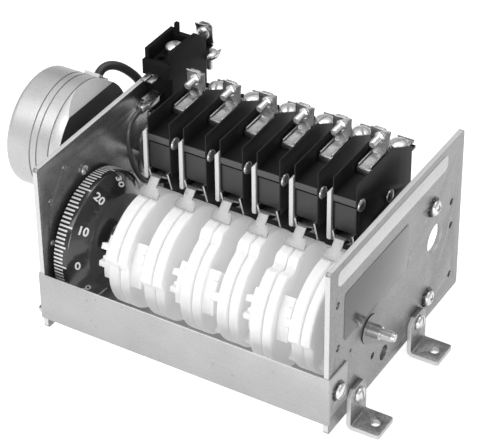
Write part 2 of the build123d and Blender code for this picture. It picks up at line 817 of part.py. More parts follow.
# Switches
for index, cam_x in enumerate(cam_xs):
    number = index + 1
    side_x = [cam_x + value for value in body_x]
    with BuildPart() as switch_body:
        side_outline(
            side_x,
            (
                (body_front, body_low),
                (body_front, body_high),
                (body_step_y, body_high),
                (body_step_y, body_step_z),
                (body_back, body_step_z),
                (body_back, body_low + body_heel),
                (body_back - body_heel, body_low),
            ),
        )
        corner = switch_body.edges().filter_by(Axis.Y).group_by(Axis.Z)[0].sort_by(Axis.X)[0]
        fillet(corner, radius=body_corner_r)
        block(side_x, (body_front - bead_out, body_front), (bead_low, body_high))
        bead = switch_body.edges().filter_by(Axis.X).group_by(Axis.Y)[0]
        fillet(bead, radius=bead_out * 0.9)
        groove_z = (bead_low - bead_groove, bead_low)
        block(side_x, (body_front, body_front + bead_out), groove_z, mode=Mode.SUBTRACT)
        boss = [cam_x + value for value in boss_x]
        block(boss, boss_y, (body_high, strip_z))
        for rivet_y, rivet_z in rivets:
            rod(side_x, rivet_y, rivet_z, rivet_r, mode=Mode.SUBTRACT)
        plunger_x = cam_x + lever_centre
        bore_z = (body_low, plunger_bore_top)
        upright(plunger_x, plunger_y, bore_z, plunger_r + fit, mode=Mode.SUBTRACT)
        screw_z = (body_step_z - rear_screw_deep, body_step_z)
        upright(cam_x, rear_screw_y, screw_z, terminal_r, mode=Mode.SUBTRACT)
    save(switch_body, f"switch_body_{number}")

    with BuildPart() as plunger:
        plunger_low = arm_z + lever_thick / 2 + plunger_seat
        upright(plunger_x, plunger_y, (plunger_low, plunger_top), plunger_r)
        fillet(plunger.edges().sort_by(Axis.Z)[0], radius=plunger_tip_r)
    save(plunger, f"plunger_{number}")

    lever_x = cam_x + lever_centre
    arm_x = (lever_x - lever_arm / 2, lever_x + lever_arm / 2)
    with BuildPart() as lever:
        # The sheet seen from the side, from the tab's lower edge to the pivot
        half = lever_thick / 2
        slope = Vector(neck_top[0] - shaft_y, neck_top[1] - tab_bottom_z).normalized()
        square = Vector(-slope.Y, slope.X) * half
        arm_top = arm_z + half
        arm_low = arm_z - half
        side_outline(
            (lever_x - tab_wide / 2, lever_x + tab_wide / 2),
            (
                (shaft_y, tab_bottom_z + 2 * square.Y),
                (neck_top[0] + square.X, neck_top[1] + square.Y),
                (neck_bend_y, neck_top[1] + half),
                (arm_front, arm_top),
                (pivot_y, arm_top),
                (pivot_y, arm_low),
                (arm_front, arm_low),
                (neck_bend_y - half, neck_top[1] - half),
                (neck_top[0] - square.X, neck_top[1] - square.Y),
                (shaft_y - 2 * square.X, tab_bottom_z),
            ),
        )
        # Its outline seen from above
        tab_end_y = shaft_y + tab_long * slope.X
        with BuildSketch(Plane.XY.offset(shaft_z)):
            with BuildLine():
                half_tab = tab_wide / 2
                half_neck = neck_wide / 2
                half_arm = lever_arm / 2
                right_side = [
                    (lever_x + half_tab, shaft_y - 2),
                    (lever_x + half_tab, tab_end_y - tab_shoulder),
                    (lever_x + half_neck + tab_shoulder, tab_end_y),
                    (lever_x + half_neck, tab_end_y),
                    (lever_x + half_neck, neck_bend_y),
                    (lever_x + half_arm, neck_bend_y + 2 * lever_thick),
                    (lever_x + half_arm, pivot_y + 2),
                ]
                left_side = [(2 * lever_x - x, y) for x, y in reversed(right_side)]
                Polyline(*right_side, *left_side, close=True)
            make_face()
        extrude(amount=plate_top - shaft_z, mode=Mode.INTERSECT)
        rod(arm_x, pivot_y, pivot_z, knuckle_r)
        rod(arm_x, pivot_y, pivot_z, pivot_r + fit, mode=Mode.SUBTRACT)
    save(lever, f"follower_lever_{number}")

with BuildPart() as insulating_sheets:
    sheet_points = (
        (sheet_front + sheet_cut[0], sheet_low),
        (sheet_front, sheet_low + sheet_cut[1]),
        (sheet_front, sheet_high),
        (sheet_flat_y, sheet_high),
        (sheet_back, sheet_back_z),
        (sheet_back, sheet_low),
    )
    for cam_x in cam_xs:
        for sheet_x in sheet_offsets:
            sheet = [cam_x + value for value in sheet_x]
            side_outline(sheet, sheet_points)
            for rivet_y, rivet_z in rivets:
                rod(sheet, rivet_y, rivet_z, rivet_r, mode=Mode.SUBTRACT)
save(insulating_sheets, "insulating_sheets")

with BuildPart() as spacer_strips:
    for cam_x in cam_xs:
        spacer = [cam_x + value for value in spacer_x]
        side_outline(
            spacer,
            (
                (sheet_front, spacer_low),
                (sheet_front, spacer_high),
                (spacer_back, spacer_high),
                (spacer_back, spacer_rear_low),
                (spacer_step_y, spacer_rear_low),
                (spacer_step_y, spacer_low),
            ),
        )
    ends = spacer_strips.edges().filter_by(Axis.Y).group_by(Axis.Z)
    fillet(ends[0], radius=spacer_end_r)
    lefts = [cam_x + spacer_x[0] for cam_x in cam_xs]
    left_tops = [edge for edge in ends[-1] if min(abs(edge.center().X - left) for left in lefts) < 0.1]
    chamfer(left_tops, length=spacer_chamfer)
    for cam_x in cam_xs:
        spacer = [cam_x + value for value in spacer_x]
        for rivet_y, rivet_z in rivets:
            rod(spacer, rivet_y, rivet_z, rivet_r, mode=Mode.SUBTRACT)
save(spacer_strips, "spacer_strips")

with BuildPart() as switch_rivets:
    for cam_x in cam_xs:
        left_face = cam_x + spacer_x[0]
        right_face = cam_x + sheet_offsets[1][1]
        for rivet_y, rivet_z in rivets:
            rod((left_face - rivet_head_high, left_face), rivet_y, rivet_z, rivet_head_r)
            rod((left_face, right_face), rivet_y, rivet_z, rivet_r)
            rod((right_face, right_face + rivet_head_high), rivet_y, rivet_z, rivet_head_r)
save(switch_rivets, "switch_rivets")

# Switch terminals
with BuildPart() as contact_strips:
    for cam_x in cam_xs:
        floor_x = [cam_x + value for value in strip_x]
        lug = [cam_x + value for value in lug_x]
        floor_z = (strip_z, strip_z + strip_thick)
        wall_y = (strip_front + strip_thick, lug_y)
        block(floor_x, (strip_front, lug_y + strip_thick), floor_z)
        block(floor_x, (strip_front, strip_front + strip_thick), (body_high, strip_z))
        for wall_x in (floor_x[0], floor_x[1] - strip_thick):
            wall_z = (strip_z, strip_z + strip_thick + strip_wall_high)
            block((wall_x, wall_x + strip_thick), wall_y, wall_z)
        with BuildSketch(Plane.XZ.offset(-lug_y - strip_thick)):
            with BuildLine():
                Polyline(
                    (lug[0], strip_z),
                    (lug[1], strip_z),
                    (lug[1], lug_top - lug_corner),
                    (lug[1] - lug_corner, lug_top),
                    (lug[0] + lug_corner, lug_top),
                    (lug[0], lug_top - lug_corner),
                    close=True,
                )
            make_face()
            with Locations((cam_x + lug_screw_x, lug_screw_z)):
                Circle(terminal_r, mode=Mode.SUBTRACT)
        extrude(amount=strip_thick)
save(contact_strips, "contact_strips")

with BuildPart() as rear_lugs:
    for cam_x in cam_xs:
        lug = (cam_x - rear_lug_wide / 2, cam_x + rear_lug_wide / 2)
        block(lug, (rear_lug_front, rear_lug_back), (body_step_z, body_step_z + strip_thick))
        end_y = (rear_lug_back - strip_thick, rear_lug_back)
        block(lug, end_y, (body_step_z, body_step_z + rear_lug_rise))
        hole_z = (body_step_z, body_step_z + strip_thick)
        upright(cam_x, rear_screw_y, hole_z, terminal_r, mode=Mode.SUBTRACT)
save(rear_lugs, "rear_lugs")

# The block's upright rear lug repeats the switches' front one
block_lug_x = (rear_lug_x[0] + rear_lug_x[1]) / 2
washer_z = body_step_z + strip_thick
with BuildPart() as terminal_washers:
    for cam_x, washer_turn in zip(cam_xs, rear_turns):
        with BuildSketch(Plane.XZ.offset(-lug_y)):
            with Locations((cam_x + lug_screw_x, lug_screw_z)):
                Rectangle(washer_side, washer_side)
                Circle(terminal_r, mode=Mode.SUBTRACT)
        extrude(amount=washer_thick)
        with BuildSketch(Plane.XY.offset(washer_z)):
            with Locations(Location((cam_x, rear_screw_y), washer_turn)):
                Rectangle(washer_side, washer_side)
                Circle(terminal_r, mode=Mode.SUBTRACT)
        extrude(amount=washer_thick)
        with BuildSketch(Plane.XY.offset(washer_z + washer_thick)):
            with Locations(Location((cam_x, rear_screw_y), washer_turn)):
                barb_y = (washer_side - strip_thick) / 2
                with Locations((0, -barb_y), (0, barb_y)):
                    Rectangle(washer_side, strip_thick)
                Circle(terminal_head_r, mode=Mode.SUBTRACT)
        extrude(amount=barb_high)
    with BuildSketch(Plane.XZ.offset(-rear_lug_y)):
        with Locations((block_lug_x, rear_lug_screw_z)):
            Rectangle(washer_side - 1, washer_side - 1)
            Circle(terminal_r, mode=Mode.SUBTRACT)
    extrude(amount=washer_thick)
save(terminal_washers, "terminal_washers")

with BuildPart() as terminal_screws:
    for cam_x, washer_turn in zip(cam_xs, rear_turns):
        lug_x_mid = cam_x + lug_screw_x
        with BuildSketch(Plane.XZ.offset(-lug_y + lug_screw_out)):
            with Locations((lug_x_mid, lug_screw_z)):
                Circle(terminal_r)
        extrude(amount=-lug_screw_out - strip_thick)
        with BuildSketch(Plane.XZ.offset(-lug_y - strip_thick)):
            with Locations((lug_x_mid, lug_screw_z)):
                Circle(lug_head_r)
        extrude(amount=-lug_head_high)
        head_z = washer_z + washer_thick
        upright(cam_x, rear_screw_y, (body_step_z - rear_screw_deep, head_z), terminal_r)
        upright(cam_x, rear_screw_y, (head_z, head_z + terminal_head_high), terminal_head_r)
        slot_plane = Plane(origin=(cam_x, rear_screw_y, head_z + terminal_head_high))
        with BuildSketch(slot_plane):
            Rectangle(slot_wide, 2 * terminal_head_r + 1, rotation=5 * washer_turn)
        extrude(amount=-slot_deep, mode=Mode.SUBTRACT)
    screw_x, screw_y, screw_z = block_screw
    upright(screw_x, screw_y, (screw_z - rear_screw_deep, screw_z), terminal_r)
    upright(screw_x, screw_y, (screw_z, screw_z + terminal_head_high), terminal_head_r)
    with BuildSketch(Plane(origin=(screw_x, screw_y, screw_z + terminal_head_high))):
        Rectangle(slot_wide, 2 * terminal_head_r + 1, rotation=60)
    extrude(amount=-slot_deep, mode=Mode.SUBTRACT)
    with BuildSketch(Plane.XZ.offset(-rear_lug_y + washer_thick)):
        with Locations((block_lug_x, rear_lug_screw_z)):
            Circle(lug_head_r)
    extrude(amount=lug_head_high)
    with BuildSketch(Plane.XZ.offset(-rear_lug_y + washer_thick)):
        with Locations((block_lug_x, rear_lug_screw_z)):
            Circle(terminal_r)
    extrude(amount=-washer_thick - strip_thick - lug_screw_behind)
save(terminal_screws, "terminal_screws")

# Terminal block
with BuildPart() as terminal_block:
    block_x = (-inner_x, block_right)
    block(block_x, (block_front, block_back), (block_low, block_floor))
    block(block_x, (block_front - block_ledge_out, block_front), block_ledge)
    walls_y = (block_front, block_wall_back)
    block((-inner_x, -inner_x + block_wall), walls_y, (block_floor, block_wall_top))
    side_outline(
        (block_right - block_wall, block_right),
        (
            (block_front, block_floor),
            (block_front, block_wall_top + 1),
            (block_wall_back, block_wall_top),
            (block_back, block_floor),
        ),
    )
    cross_y = (block_wall_back - block_wall, block_wall_back)
    block(block_x, cross_y, (block_floor, block_cross_top))
    post_x, post_wide, post_top = block_post
    block((post_x, post_x + post_wide), cross_y, (block_cross_top, post_top))
    screw_x, screw_y, screw_z = block_screw
    upright(screw_x, screw_y, (block_floor, screw_z), block_boss_r)
    upright(screw_x, screw_y, (screw_z - rear_screw_deep, screw_z), terminal_r, mode=Mode.SUBTRACT)
    hole_x, hole_y, hole_r, hole_deep = block_hole
    upright(hole_x, hole_y, (block_floor - hole_deep, block_floor), hole_r, mode=Mode.SUBTRACT)
    block((rear_lug_x[0], block_right), (block_back, block_ear_back), block_ear)
    for screw_y, screw_z in block_screws:
        rod((-inner_x, -inner_x + block_screw_deep), screw_y, screw_z, screw_r, mode=Mode.SUBTRACT)
save(terminal_block, "terminal_block")

with BuildPart() as block_terminals:
    for spade_z in spade_heights:
        spade_sides = (spade_x - spade_wide / 2, spade_x + spade_wide / 2)
        spade_back = block_front - block_ledge_out if spade_z > block_ledge[0] else block_front
        spade_y = (block_front - spade_long, spade_back)
        block(spade_sides, spade_y, (spade_z, spade_z + spade_thick))
        slot_sides = (spade_x - spade_slot / 2, spade_x + spade_slot / 2)
        slot_y = (block_front - spade_long, spade_back - spade_root)
        block(slot_sides, slot_y, (spade_z, spade_z + spade_thick), mode=Mode.SUBTRACT)
    lug_low = block_ear[1]
    with BuildSketch(Plane.XZ.offset(-rear_lug_y - strip_thick)):
        with BuildLine():
            Polyline(
                (rear_lug_x[0], lug_low),
                (rear_lug_x[1], lug_low),
                (rear_lug_x[1], rear_lug_top - lug_corner),
                (rear_lug_x[1] - lug_corner, rear_lug_top),
                (rear_lug_x[0] + lug_corner, rear_lug_top),
                (rear_lug_x[0], rear_lug_top - lug_corner),
                close=True,
            )
        make_face()
        with Locations((block_lug_x, rear_lug_screw_z)):
            Circle(terminal_r, mode=Mode.SUBTRACT)
    extrude(amount=strip_thick)
    foot_y = (rear_lug_y, block_ear_back)
    block(rear_lug_x, foot_y, (lug_low, lug_low + strip_thick))
    # A crimped connector on one prong of the lower spade
    block(sleeve_x, sleeve_y, sleeve_z)
    barrel_x, barrel_z, barrel_r, barrel_front = sleeve_barrel
    with BuildSketch(Plane.XZ.offset(-barrel_front)):
        with Locations((barrel_x, barrel_z)):
            Circle(barrel_r)
    extrude(amount=barrel_front - sleeve_y[0])
save(block_terminals, "block_terminals")

# Screws of the frame, with toothed lock washers under four of them
with BuildPart() as frame_screws:
    for side in (-1, 1):
        rail_face = side * (end_x + rail_thick)
        bracket_face = side * (end_x + bracket_thick)
        deck_face = side * (inner_x - deck_thick)
        pan_face = side * (inner_x - pan_thick)
        outer_face = side * end_x
        # Place, outer face under the head or washer, inner end, lock washer, slot angle
        fixings = [
            (rail_screw, rail_face, side * inner_x, True, 20),
            (plate_screw, outer_face, deck_face, True, 70),
            (pan_screw, outer_face, pan_face, True, 65),
            ((bracket_front_y, bracket_screw_z), bracket_face, pan_face, False, 80),
            ((bracket_rear_y, bracket_screw_z), bracket_face, pan_face, False, 60),
        ]
        if side < 0:
            screw_end = -inner_x + block_screw_deep
            fixings += [(place, outer_face, screw_end, False, 30) for place in block_screws]
        for (place_y, place_z), face, end, locked, slot_angle in fixings:
            under_head = face
            if locked:
                with BuildSketch(Plane.YZ.offset(face)):
                    with Locations((place_y, place_z)):
                        Circle(lock_r - slot_wide / 2)
                        with PolarLocations(lock_r - slot_wide / 2, lock_teeth):
                            Rectangle(slot_wide, slot_wide)
                        Circle(screw_r, mode=Mode.SUBTRACT)
                extrude(amount=side * lock_thick)
                under_head = face + side * lock_thick
            rod(sorted((under_head, end)), place_y, place_z, screw_r)
            slotted_head(under_head, place_y, place_z, head_r, head_high, side, slot_angle)
    for post_y, post_z in post_places:
        rod((-end_x - post_hole_deep, -inner_x), post_y, post_z, small_screw_r)
        slotted_head(-inner_x, post_y, post_z, small_head_r, small_head_high, 1, 35)
save(frame_screws, "frame_screws")

# The motor's strain relief and the plate's grommet
relief_out = polar(1, relief_angle)
relief_plane = Plane(
    origin=(relief_x, motor_y + motor_r * relief_out[0], motor_z + motor_r * relief_out[1]),
    x_dir=(1, 0, 0),
    z_dir=(0, relief_out[0], relief_out[1]),
)
cable_start = relief_plane.from_local_coords(Vector(*relief_offset, relief_high - relief_socket))
cable_way = Vector(*cable_corners[0]) - cable_start
hole_y, hole_z = cable_hole
with BuildPart() as cable_grips:
    with BuildSketch(relief_plane.offset(-relief_sink)):
        Rectangle(relief_long, relief_wide)
    extrude(amount=relief_sink + relief_high)
    rod((case_back - 2 * band_long, case_face), motor_y, motor_z, motor_r, mode=Mode.SUBTRACT)
    with BuildSketch(Plane(origin=cable_start, z_dir=cable_way)) as socket:
        Circle(cable_r)
    extrude(socket.sketch, amount=relief_wide, mode=Mode.SUBTRACT)
    rod((-end_x - grommet_lip, -inner_x + grommet_lip), hole_y, hole_z, cable_hole_r)
    for face_x in (-end_x - grommet_lip, -inner_x):
        rod((face_x, face_x + grommet_lip), hole_y, hole_z, grommet_r)
    rod((-end_x - grommet_lip, -inner_x + grommet_lip), hole_y, hole_z, cable_r, mode=Mode.SUBTRACT)
save(cable_grips, "cable_grips")

# Cords
cable_end = (-inner_x + grommet_lip, hole_y, hole_z)
with BuildPart() as motor_cable:
    cord([tuple(cable_start), *cable_corners, cable_end], cable_r, "motor cable")
save(motor_cable, "motor_cable")

with BuildPart() as lead_wires:
    for wire_route in (front_wire, rear_wire):
        wire_end = (-inner_x + grommet_lip, wire_route[-1][1], hole_z)
        cord([*wire_route, wire_end], wire_r, "lead wire")
save(lead_wires, "lead_wires")
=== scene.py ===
import bpy
import json
import math
from mathutils import Matrix, Vector

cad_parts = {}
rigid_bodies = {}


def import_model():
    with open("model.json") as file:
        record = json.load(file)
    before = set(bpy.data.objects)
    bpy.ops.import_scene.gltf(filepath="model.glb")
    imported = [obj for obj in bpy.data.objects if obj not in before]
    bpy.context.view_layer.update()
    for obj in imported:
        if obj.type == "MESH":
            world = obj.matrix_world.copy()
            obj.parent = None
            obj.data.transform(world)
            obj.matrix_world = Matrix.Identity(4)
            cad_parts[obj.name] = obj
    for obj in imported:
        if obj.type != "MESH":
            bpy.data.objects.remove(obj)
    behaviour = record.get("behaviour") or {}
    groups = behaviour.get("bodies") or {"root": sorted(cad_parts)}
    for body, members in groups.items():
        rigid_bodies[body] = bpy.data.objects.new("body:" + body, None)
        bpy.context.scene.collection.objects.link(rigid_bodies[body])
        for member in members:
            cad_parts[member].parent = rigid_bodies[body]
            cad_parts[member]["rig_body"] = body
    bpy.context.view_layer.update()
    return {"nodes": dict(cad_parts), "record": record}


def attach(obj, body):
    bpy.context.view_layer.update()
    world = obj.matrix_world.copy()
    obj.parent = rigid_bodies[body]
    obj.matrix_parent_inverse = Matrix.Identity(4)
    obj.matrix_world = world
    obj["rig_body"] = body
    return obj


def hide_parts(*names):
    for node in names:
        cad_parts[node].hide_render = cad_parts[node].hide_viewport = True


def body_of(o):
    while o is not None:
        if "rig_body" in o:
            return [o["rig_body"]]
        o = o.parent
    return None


# Cam timer. Lengths are in millimetres times mm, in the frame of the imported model:
# X runs along the camshaft to its threaded end, Z up, and the feet stand on Z = 0.
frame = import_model()
nodes = frame["nodes"]
slots = {part["node"]: part["material_slot"] for part in frame["record"]["subparts"]}
mm = 0.001
firstCam, camPitch, camCount = -39.6, 19.05, 6
camCentres = [firstCam + camPitch * number for number in range(camCount)]
camNumbers = range(1, camCount + 1)
shaftY, shaftZ = -16.4, 42.0


# ---- camera, studio and cords ----
cameraFacts = {
    "place": (0.40634, -0.66641, 0.62785),
    "azimuth": 30.641,
    "elevation": 33.576,
    "roll": -0.345,
    "sensor": 36.0,
    "focalPixels": 2124.69,
    "centrePixel": (262.42, 134.54),
    "picture": (500, 445),
}
studioFacts = {
    "sky": 0.9,
    "skyBands": ((0.0, 0.85), (0.12, 0.75), (0.3, 0.25), (0.52, 0.3), (0.68, 0.95), (1.0, 1.0)),
    "floorShade": 0.55, "floorGlow": 0.7,
    "floorSize": 6.0,
    "floorDrop": 0.0004,
    "key": {"place": (-0.45, -0.75, 0.95), "size": (0.8, 0.8), "power": 6.0},
    "front": {"place": (0.3, -1.2, 0.3), "size": (1.0, 0.5), "power": 7.5},
    "top": {"place": (0.0, 0.25, 1.2), "size": (0.8, 0.5), "power": 4.0},
}
cordFacts = {
    "motorCable": {
        "node": "motor_cable",
        "width": 4.4,
        "length": 78.5,
        "stiffness": "medium",
        "route": (
            (-94.2, 26.8, 96.7), (-94.79, 31.16, 99.52), (-89.48, 38.98, 97.45), (-80.93, 45.13, 86.76),
            (-83.72, 48.75, 68.25), (-86.91, 33.7, 62.83), (-79.0, 32.0, 52.0), (-71.55, 32.0, 52.0),
        ),
    },
    "frontWire": {
        "node": "lead_wires",
        "width": 2.6,
        "length": 70.5,
        "stiffness": "limp",
        "route": (
            (-63.9, 16.5, 92.5), (-63.9, 5.4, 92.5), (-63.5, 5.7, 71.0), (-63.6, 18.0, 49.0),
            (-63.6, 30.65, 52.0), (-71.55, 30.65, 52.0),
        ),
    },
    "rearWire": {
        "node": "lead_wires",
        "width": 2.6,
        "length": 79.1,
        "stiffness": "limp",
        "route": (
            (-60.6, 35.0, 86.8), (-60.6, 11.0, 86.8), (-60.6, 11.2, 71.0), (-60.6, 20.0, 50.5),
            (-60.6, 33.35, 52.0), (-71.55, 33.35, 52.0),
        ),
    },
}


def makeCamera():
    facts = cameraFacts
    width, height = facts["picture"]
    lens = bpy.data.cameras.new("photoCamera")
    camera = bpy.data.objects.new("photoCamera", lens)
    bpy.context.scene.collection.objects.link(camera)
    lens.sensor_width = facts["sensor"]
    lens.lens = facts["focalPixels"] * facts["sensor"] / width
    lens.shift_x = (width / 2 - facts["centrePixel"][0]) / width
    lens.shift_y = (facts["centrePixel"][1] - height / 2) / width
    lens.clip_start = 0.05
    lens.clip_end = 20
    azimuth = math.radians(facts["azimuth"])
    elevation = math.radians(facts["elevation"])
    back = Vector((
        math.sin(azimuth) * math.cos(elevation), -math.cos(azimuth) * math.cos(elevation), math.sin(elevation)
    ))
    turn = (-back).to_track_quat("-Z", "Y").to_matrix().to_4x4()
    roll = Matrix.Rotation(math.radians(facts["roll"]), 4, "Z")
    camera.matrix_world = Matrix.Translation(facts["place"]) @ turn @ roll
    bpy.context.scene.camera = camera


def addSoftbox(name, place, size, power, aim=(0, 0, 0.05)):
    light = bpy.data.lights.new(name, "AREA")
    light.shape = "RECTANGLE"
    light.size, light.size_y = size
    light.energy = power
    box = bpy.data.objects.new(name, light)
    bpy.context.scene.collection.objects.link(box)
    box.location = place
    box.rotation_euler = (Vector(aim) - Vector(place)).to_track_quat("-Z", "Y").to_euler()


def addCord(name):
    facts = cordFacts[name]
    curve = bpy.data.curves.new(name, "CURVE")
    curve.dimensions = "3D"
    curve.bevel_depth = facts["width"] / 2 * mm
    curve.bevel_resolution = 6
    curve.resolution_u = 16
    curve.use_fill_caps = True
    spline = curve.splines.new("NURBS")
    spline.points.add(len(facts["route"]) - 1)
    for point, place in zip(spline.points, facts["route"]):
        point.co = (*(value * mm for value in place), 1)
    spline.order_u = 3
    spline.use_endpoint_u = True
    cord = bpy.data.objects.new(name, curve)
    bpy.context.scene.collection.objects.link(cord)
    return cord


makeCamera()
for lightName in ("key", "front", "top"):
    addSoftbox(lightName + "Softbox", **studioFacts[lightName])
cords = {name: addCord(name) for name in cordFacts}
print("camera, lights and cords placed")


# ---- shader maths ----
class Wire:
    # A socket of a material, so that masks and sums of values read as plain expressions.
    def __init__(self, draft, socket):
        self.draft = draft
        self.socket = socket

    def maths(self, operation, *values):
        return self.draft.node("ShaderNodeMath", {"operation": operation}, values)

    def __add__(self, other):
        return self.maths("ADD", self, other)

    def __mul__(self, other):
        return self.maths("MULTIPLY", self, other)

    def __gt__(self, other):
        return self.maths("GREATER_THAN", self, other)

    def __lt__(self, other):
        return self.maths("LESS_THAN", self, other)

    __radd__ = __add__
    __rmul__ = __mul__


class Draft:
    # A material being written: one Principled shader and what feeds it.
    def __init__(self, name, **fixed):
        self.material = bpy.data.materials.new(name)
        self.material.use_nodes = True
        self.tree = self.material.node_tree
        self.shader = self.tree.nodes["Principled BSDF"]
        for socket, value in fixed.items():
            self.shader.inputs[socket.replace("_", " ")].default_value = value
        self.place = self.node("ShaderNodeTexCoord", {}, {}, "Object")

    def node(self, kind, settings, values, output=0):
        made = self.tree.nodes.new(kind)
        for name, value in settings.items():
            if name != "stops":
                setattr(made, name, value)
                continue
            ramp = made.color_ramp
            while len(ramp.elements) < len(value):
                ramp.elements.new(0.5)
            for element, (at, shade) in zip(ramp.elements, value):
                element.position = at
                element.color = (shade, shade, shade, 1)
        pairs = values.items() if isinstance(values, dict) else enumerate(values)
        for key, value in pairs:
            if isinstance(value, Wire):
                self.tree.links.new(value.socket, made.inputs[key])
            else:
                made.inputs[key].default_value = value
        return Wire(self, made.outputs[output])

    def stretched(self, x, y, z):
        return self.node("ShaderNodeMapping", {}, {"Vector": self.place, "Scale": (x, y, z)})

    def noise(self, scale, detail=2.0, at=None, rough=0.5):
        values = {"Vector": at or self.place, "Scale": scale, "Detail": detail, "Roughness": rough}
        return self.node("ShaderNodeTexNoise", {}, values)

    def specks(self, scale, size):
        spots = self.node("ShaderNodeTexVoronoi", {}, {"Vector": self.place, "Scale": scale})
        return spots < size

    def ramp(self, value, *stops):
        return self.node("ShaderNodeValToRGB", {"stops": stops}, [value])

    def mix(self, share, first, second):
        values = {0: share}
        for key, colour in ((6, first), (7, second)):
            values[key] = colour if isinstance(colour, Wire) else (colour, colour, colour, 1)
        return self.node("ShaderNodeMix", {"data_type": "RGBA"}, values, 2)

    def feed(self, socket, value):
        self.tree.links.new(value.socket, self.shader.inputs[socket])

    def bump(self, height, distance, strength=1.0):
        values = {"Height": height, "Distance": distance, "Strength": strength}
        self.feed("Normal", self.node("ShaderNodeBump", {}, values))


def sheetFinish(name, shade, rough, grain=0.5, streakAlong="Y", metal=1.0, relief=0.006, change=0.15):
    # Plated sheet steel: a fine mottle, faint rolling lines and rare dull spots. grain is in mm.
    draft = Draft(name, Metallic=metal)
    fine = draft.noise(1000 / grain, 3, rough=0.65)
    broad = draft.noise(60, 3)
    lineScale = {"X": (30, 1200, 1200), "Y": (1200, 30, 1200), "Z": (1200, 1200, 30)}[streakAlong]
    lines = draft.noise(1.0, 2, draft.stretched(*lineScale))
    spots = draft.specks(240, 0.12) * (draft.noise(35, 1) > 0.58)
    dull, light = shade * (1 - change), shade * (1 + change)
    mottle = draft.ramp(fine * 0.68 + broad * 0.22 + lines * 0.1, (0.36, dull), (0.64, light))
    draft.feed("Base Color", draft.mix(spots * 0.35, mottle, shade * 0.5))
    draft.feed("Roughness", broad * 0.08 + lines * 0.04 + spots * 0.15 + (rough - 0.06))
    draft.bump(fine * 0.7 + lines * 0.3, relief * mm)
    return draft.material


def brightFinish(name, shade, rough, scratches=0.5, metal=1.0):
    # Turned or stamped metal with hairline scratches in two directions and a little dullness.
    draft = Draft(name, Metallic=metal)
    oneWay = draft.noise(1.0, 2, draft.stretched(4200, 240, 900))
    otherWay = draft.noise(1.0, 2, draft.stretched(240, 900, 4200))
    broad = draft.noise(280, 3)
    lines = draft.ramp(oneWay * 0.5 + otherWay * 0.5, (0.42, 0.0), (0.62, 1.0))
    draft.feed("Base Color", draft.mix(broad * 0.5 + lines * 0.3, shade * 0.72, min(shade * 1.18, 1.0)))
    draft.feed("Roughness", broad * 0.15 + lines * 0.08 + (rough - 0.1))
    draft.bump(lines, 0.0012 * mm, scratches)
    return draft.material


def mouldedFinish(name, shade, rough, grain=0.35, change=0.12, relief=0.01, dust=0.0, **fixed):
    # Moulded plastic or painted card: slight mottle, faint flow marks, and dust where dust is over 0.
    draft = Draft(name, **fixed)
    fine = draft.noise(1000 / grain, 2)
    flow = draft.noise(1.0, 3, draft.stretched(110, 160, 60))
    tone = draft.mix(fine * 0.35 + flow * 0.65, shade * (1 - change), min(shade * (1 + change), 1.0))
    if dust:
        dusty = draft.specks(900, 0.16) * (draft.noise(80, 2) > 0.5) * dust
        tone = draft.mix(dusty, tone, min(shade + 0.3, 1.0))
    draft.feed("Base Color", tone)
    draft.feed("Roughness", flow * 0.16 + fine * 0.06 + (rough - 0.1))
    draft.bump(fine * 0.5 + flow * 0.5, relief * mm)
    return draft.material


finishes = {
    "zinc_sheet": sheetFinish("zincSheet", 0.27, 0.40, grain=0.7, change=0.24),
    "rail_sheet": sheetFinish("railSheet", 0.41, 0.48, streakAlong="X", change=0.18),
    "steel_bright": brightFinish("brightSteel", 0.46, 0.30),
    "screw_steel": brightFinish("screwSteel", 0.78, 0.3, metal=0.85),
    "label_metal": sheetFinish("labelFoil", 0.125, 0.17, metal=0.75, relief=0.0005),
    "dial_black": mouldedFinish("dialBlack", 0.018, 0.17, relief=0.003, dust=0.08, Specular_IOR_Level=0.75),
    # Cam nylon: subsurface scatter for its real translucency, plus a faint white glow that is painted light
    # lifting the cams' shaded sides
    "cam_nylon": mouldedFinish(
        "camNylon", 0.54, 0.40, change=0.03, relief=0.003, Subsurface_Weight=0.85, Subsurface_Scale=0.01,
        Subsurface_Radius=(1.0, 1.0, 1.0), Emission_Color=(1, 1, 1, 1), Emission_Strength=0.2,
    ),
    "gear_brass": brightFinish("gearBrass", 0.40, 0.3),
    "bush_bronze": brightFinish("bushBronze", 0.26, 0.36),
    "motor_steel": sheetFinish("motorSteel", 0.46, 0.42, streakAlong="X", metal=0.6, relief=0.003),
    "case_steel": sheetFinish("caseSteel", 0.55, 0.42, streakAlong="Z", metal=0.5, relief=0.003),
    "switch_black": mouldedFinish("switchBlack", 0.018, 0.40, dust=0.05),
    "sheet_black": mouldedFinish("sheetBlack", 0.008, 0.5, grain=0.25, relief=0.008, Specular_IOR_Level=0.3),
    "spacer_white": mouldedFinish("spacerWhite", 0.52, 0.4, change=0.05),
    "plunger_plastic": mouldedFinish("plungerPlastic", 0.55, 0.4),
    "terminal_tin": brightFinish("terminalTin", 0.52, 0.3, scratches=0.15),
    "block_black": mouldedFinish("blockBlack", 0.009, 0.5, dust=0.05, Specular_IOR_Level=0.05),
    "grip_plastic": mouldedFinish("gripPlastic", 0.55, 0.4),
    "cable_black": mouldedFinish("cableBlack", 0.02, 0.42, grain=0.6),
    "wire_grey": mouldedFinish("wireGrey", 0.04, 0.3, grain=0.8),
}
stripFoil = sheetFinish("stripFoil", 0.60, 0.5, metal=0.1, relief=0.001)
# A darker copy of the plate zinc for the left plate's inner face: painted shade
innerShadeSheet = sheetFinish("innerShadeSheet", 0.23, 0.32, change=0.5, metal=0.85)
panSheet = sheetFinish("panSheet", 0.62, 0.5, streakAlong="X", metal=0.6)
# Near black for the gear case's flat outer face: painted shade
caseFaceShade = mouldedFinish("caseFaceShade", 0.045, 0.42, grain=0.4, relief=0.004)
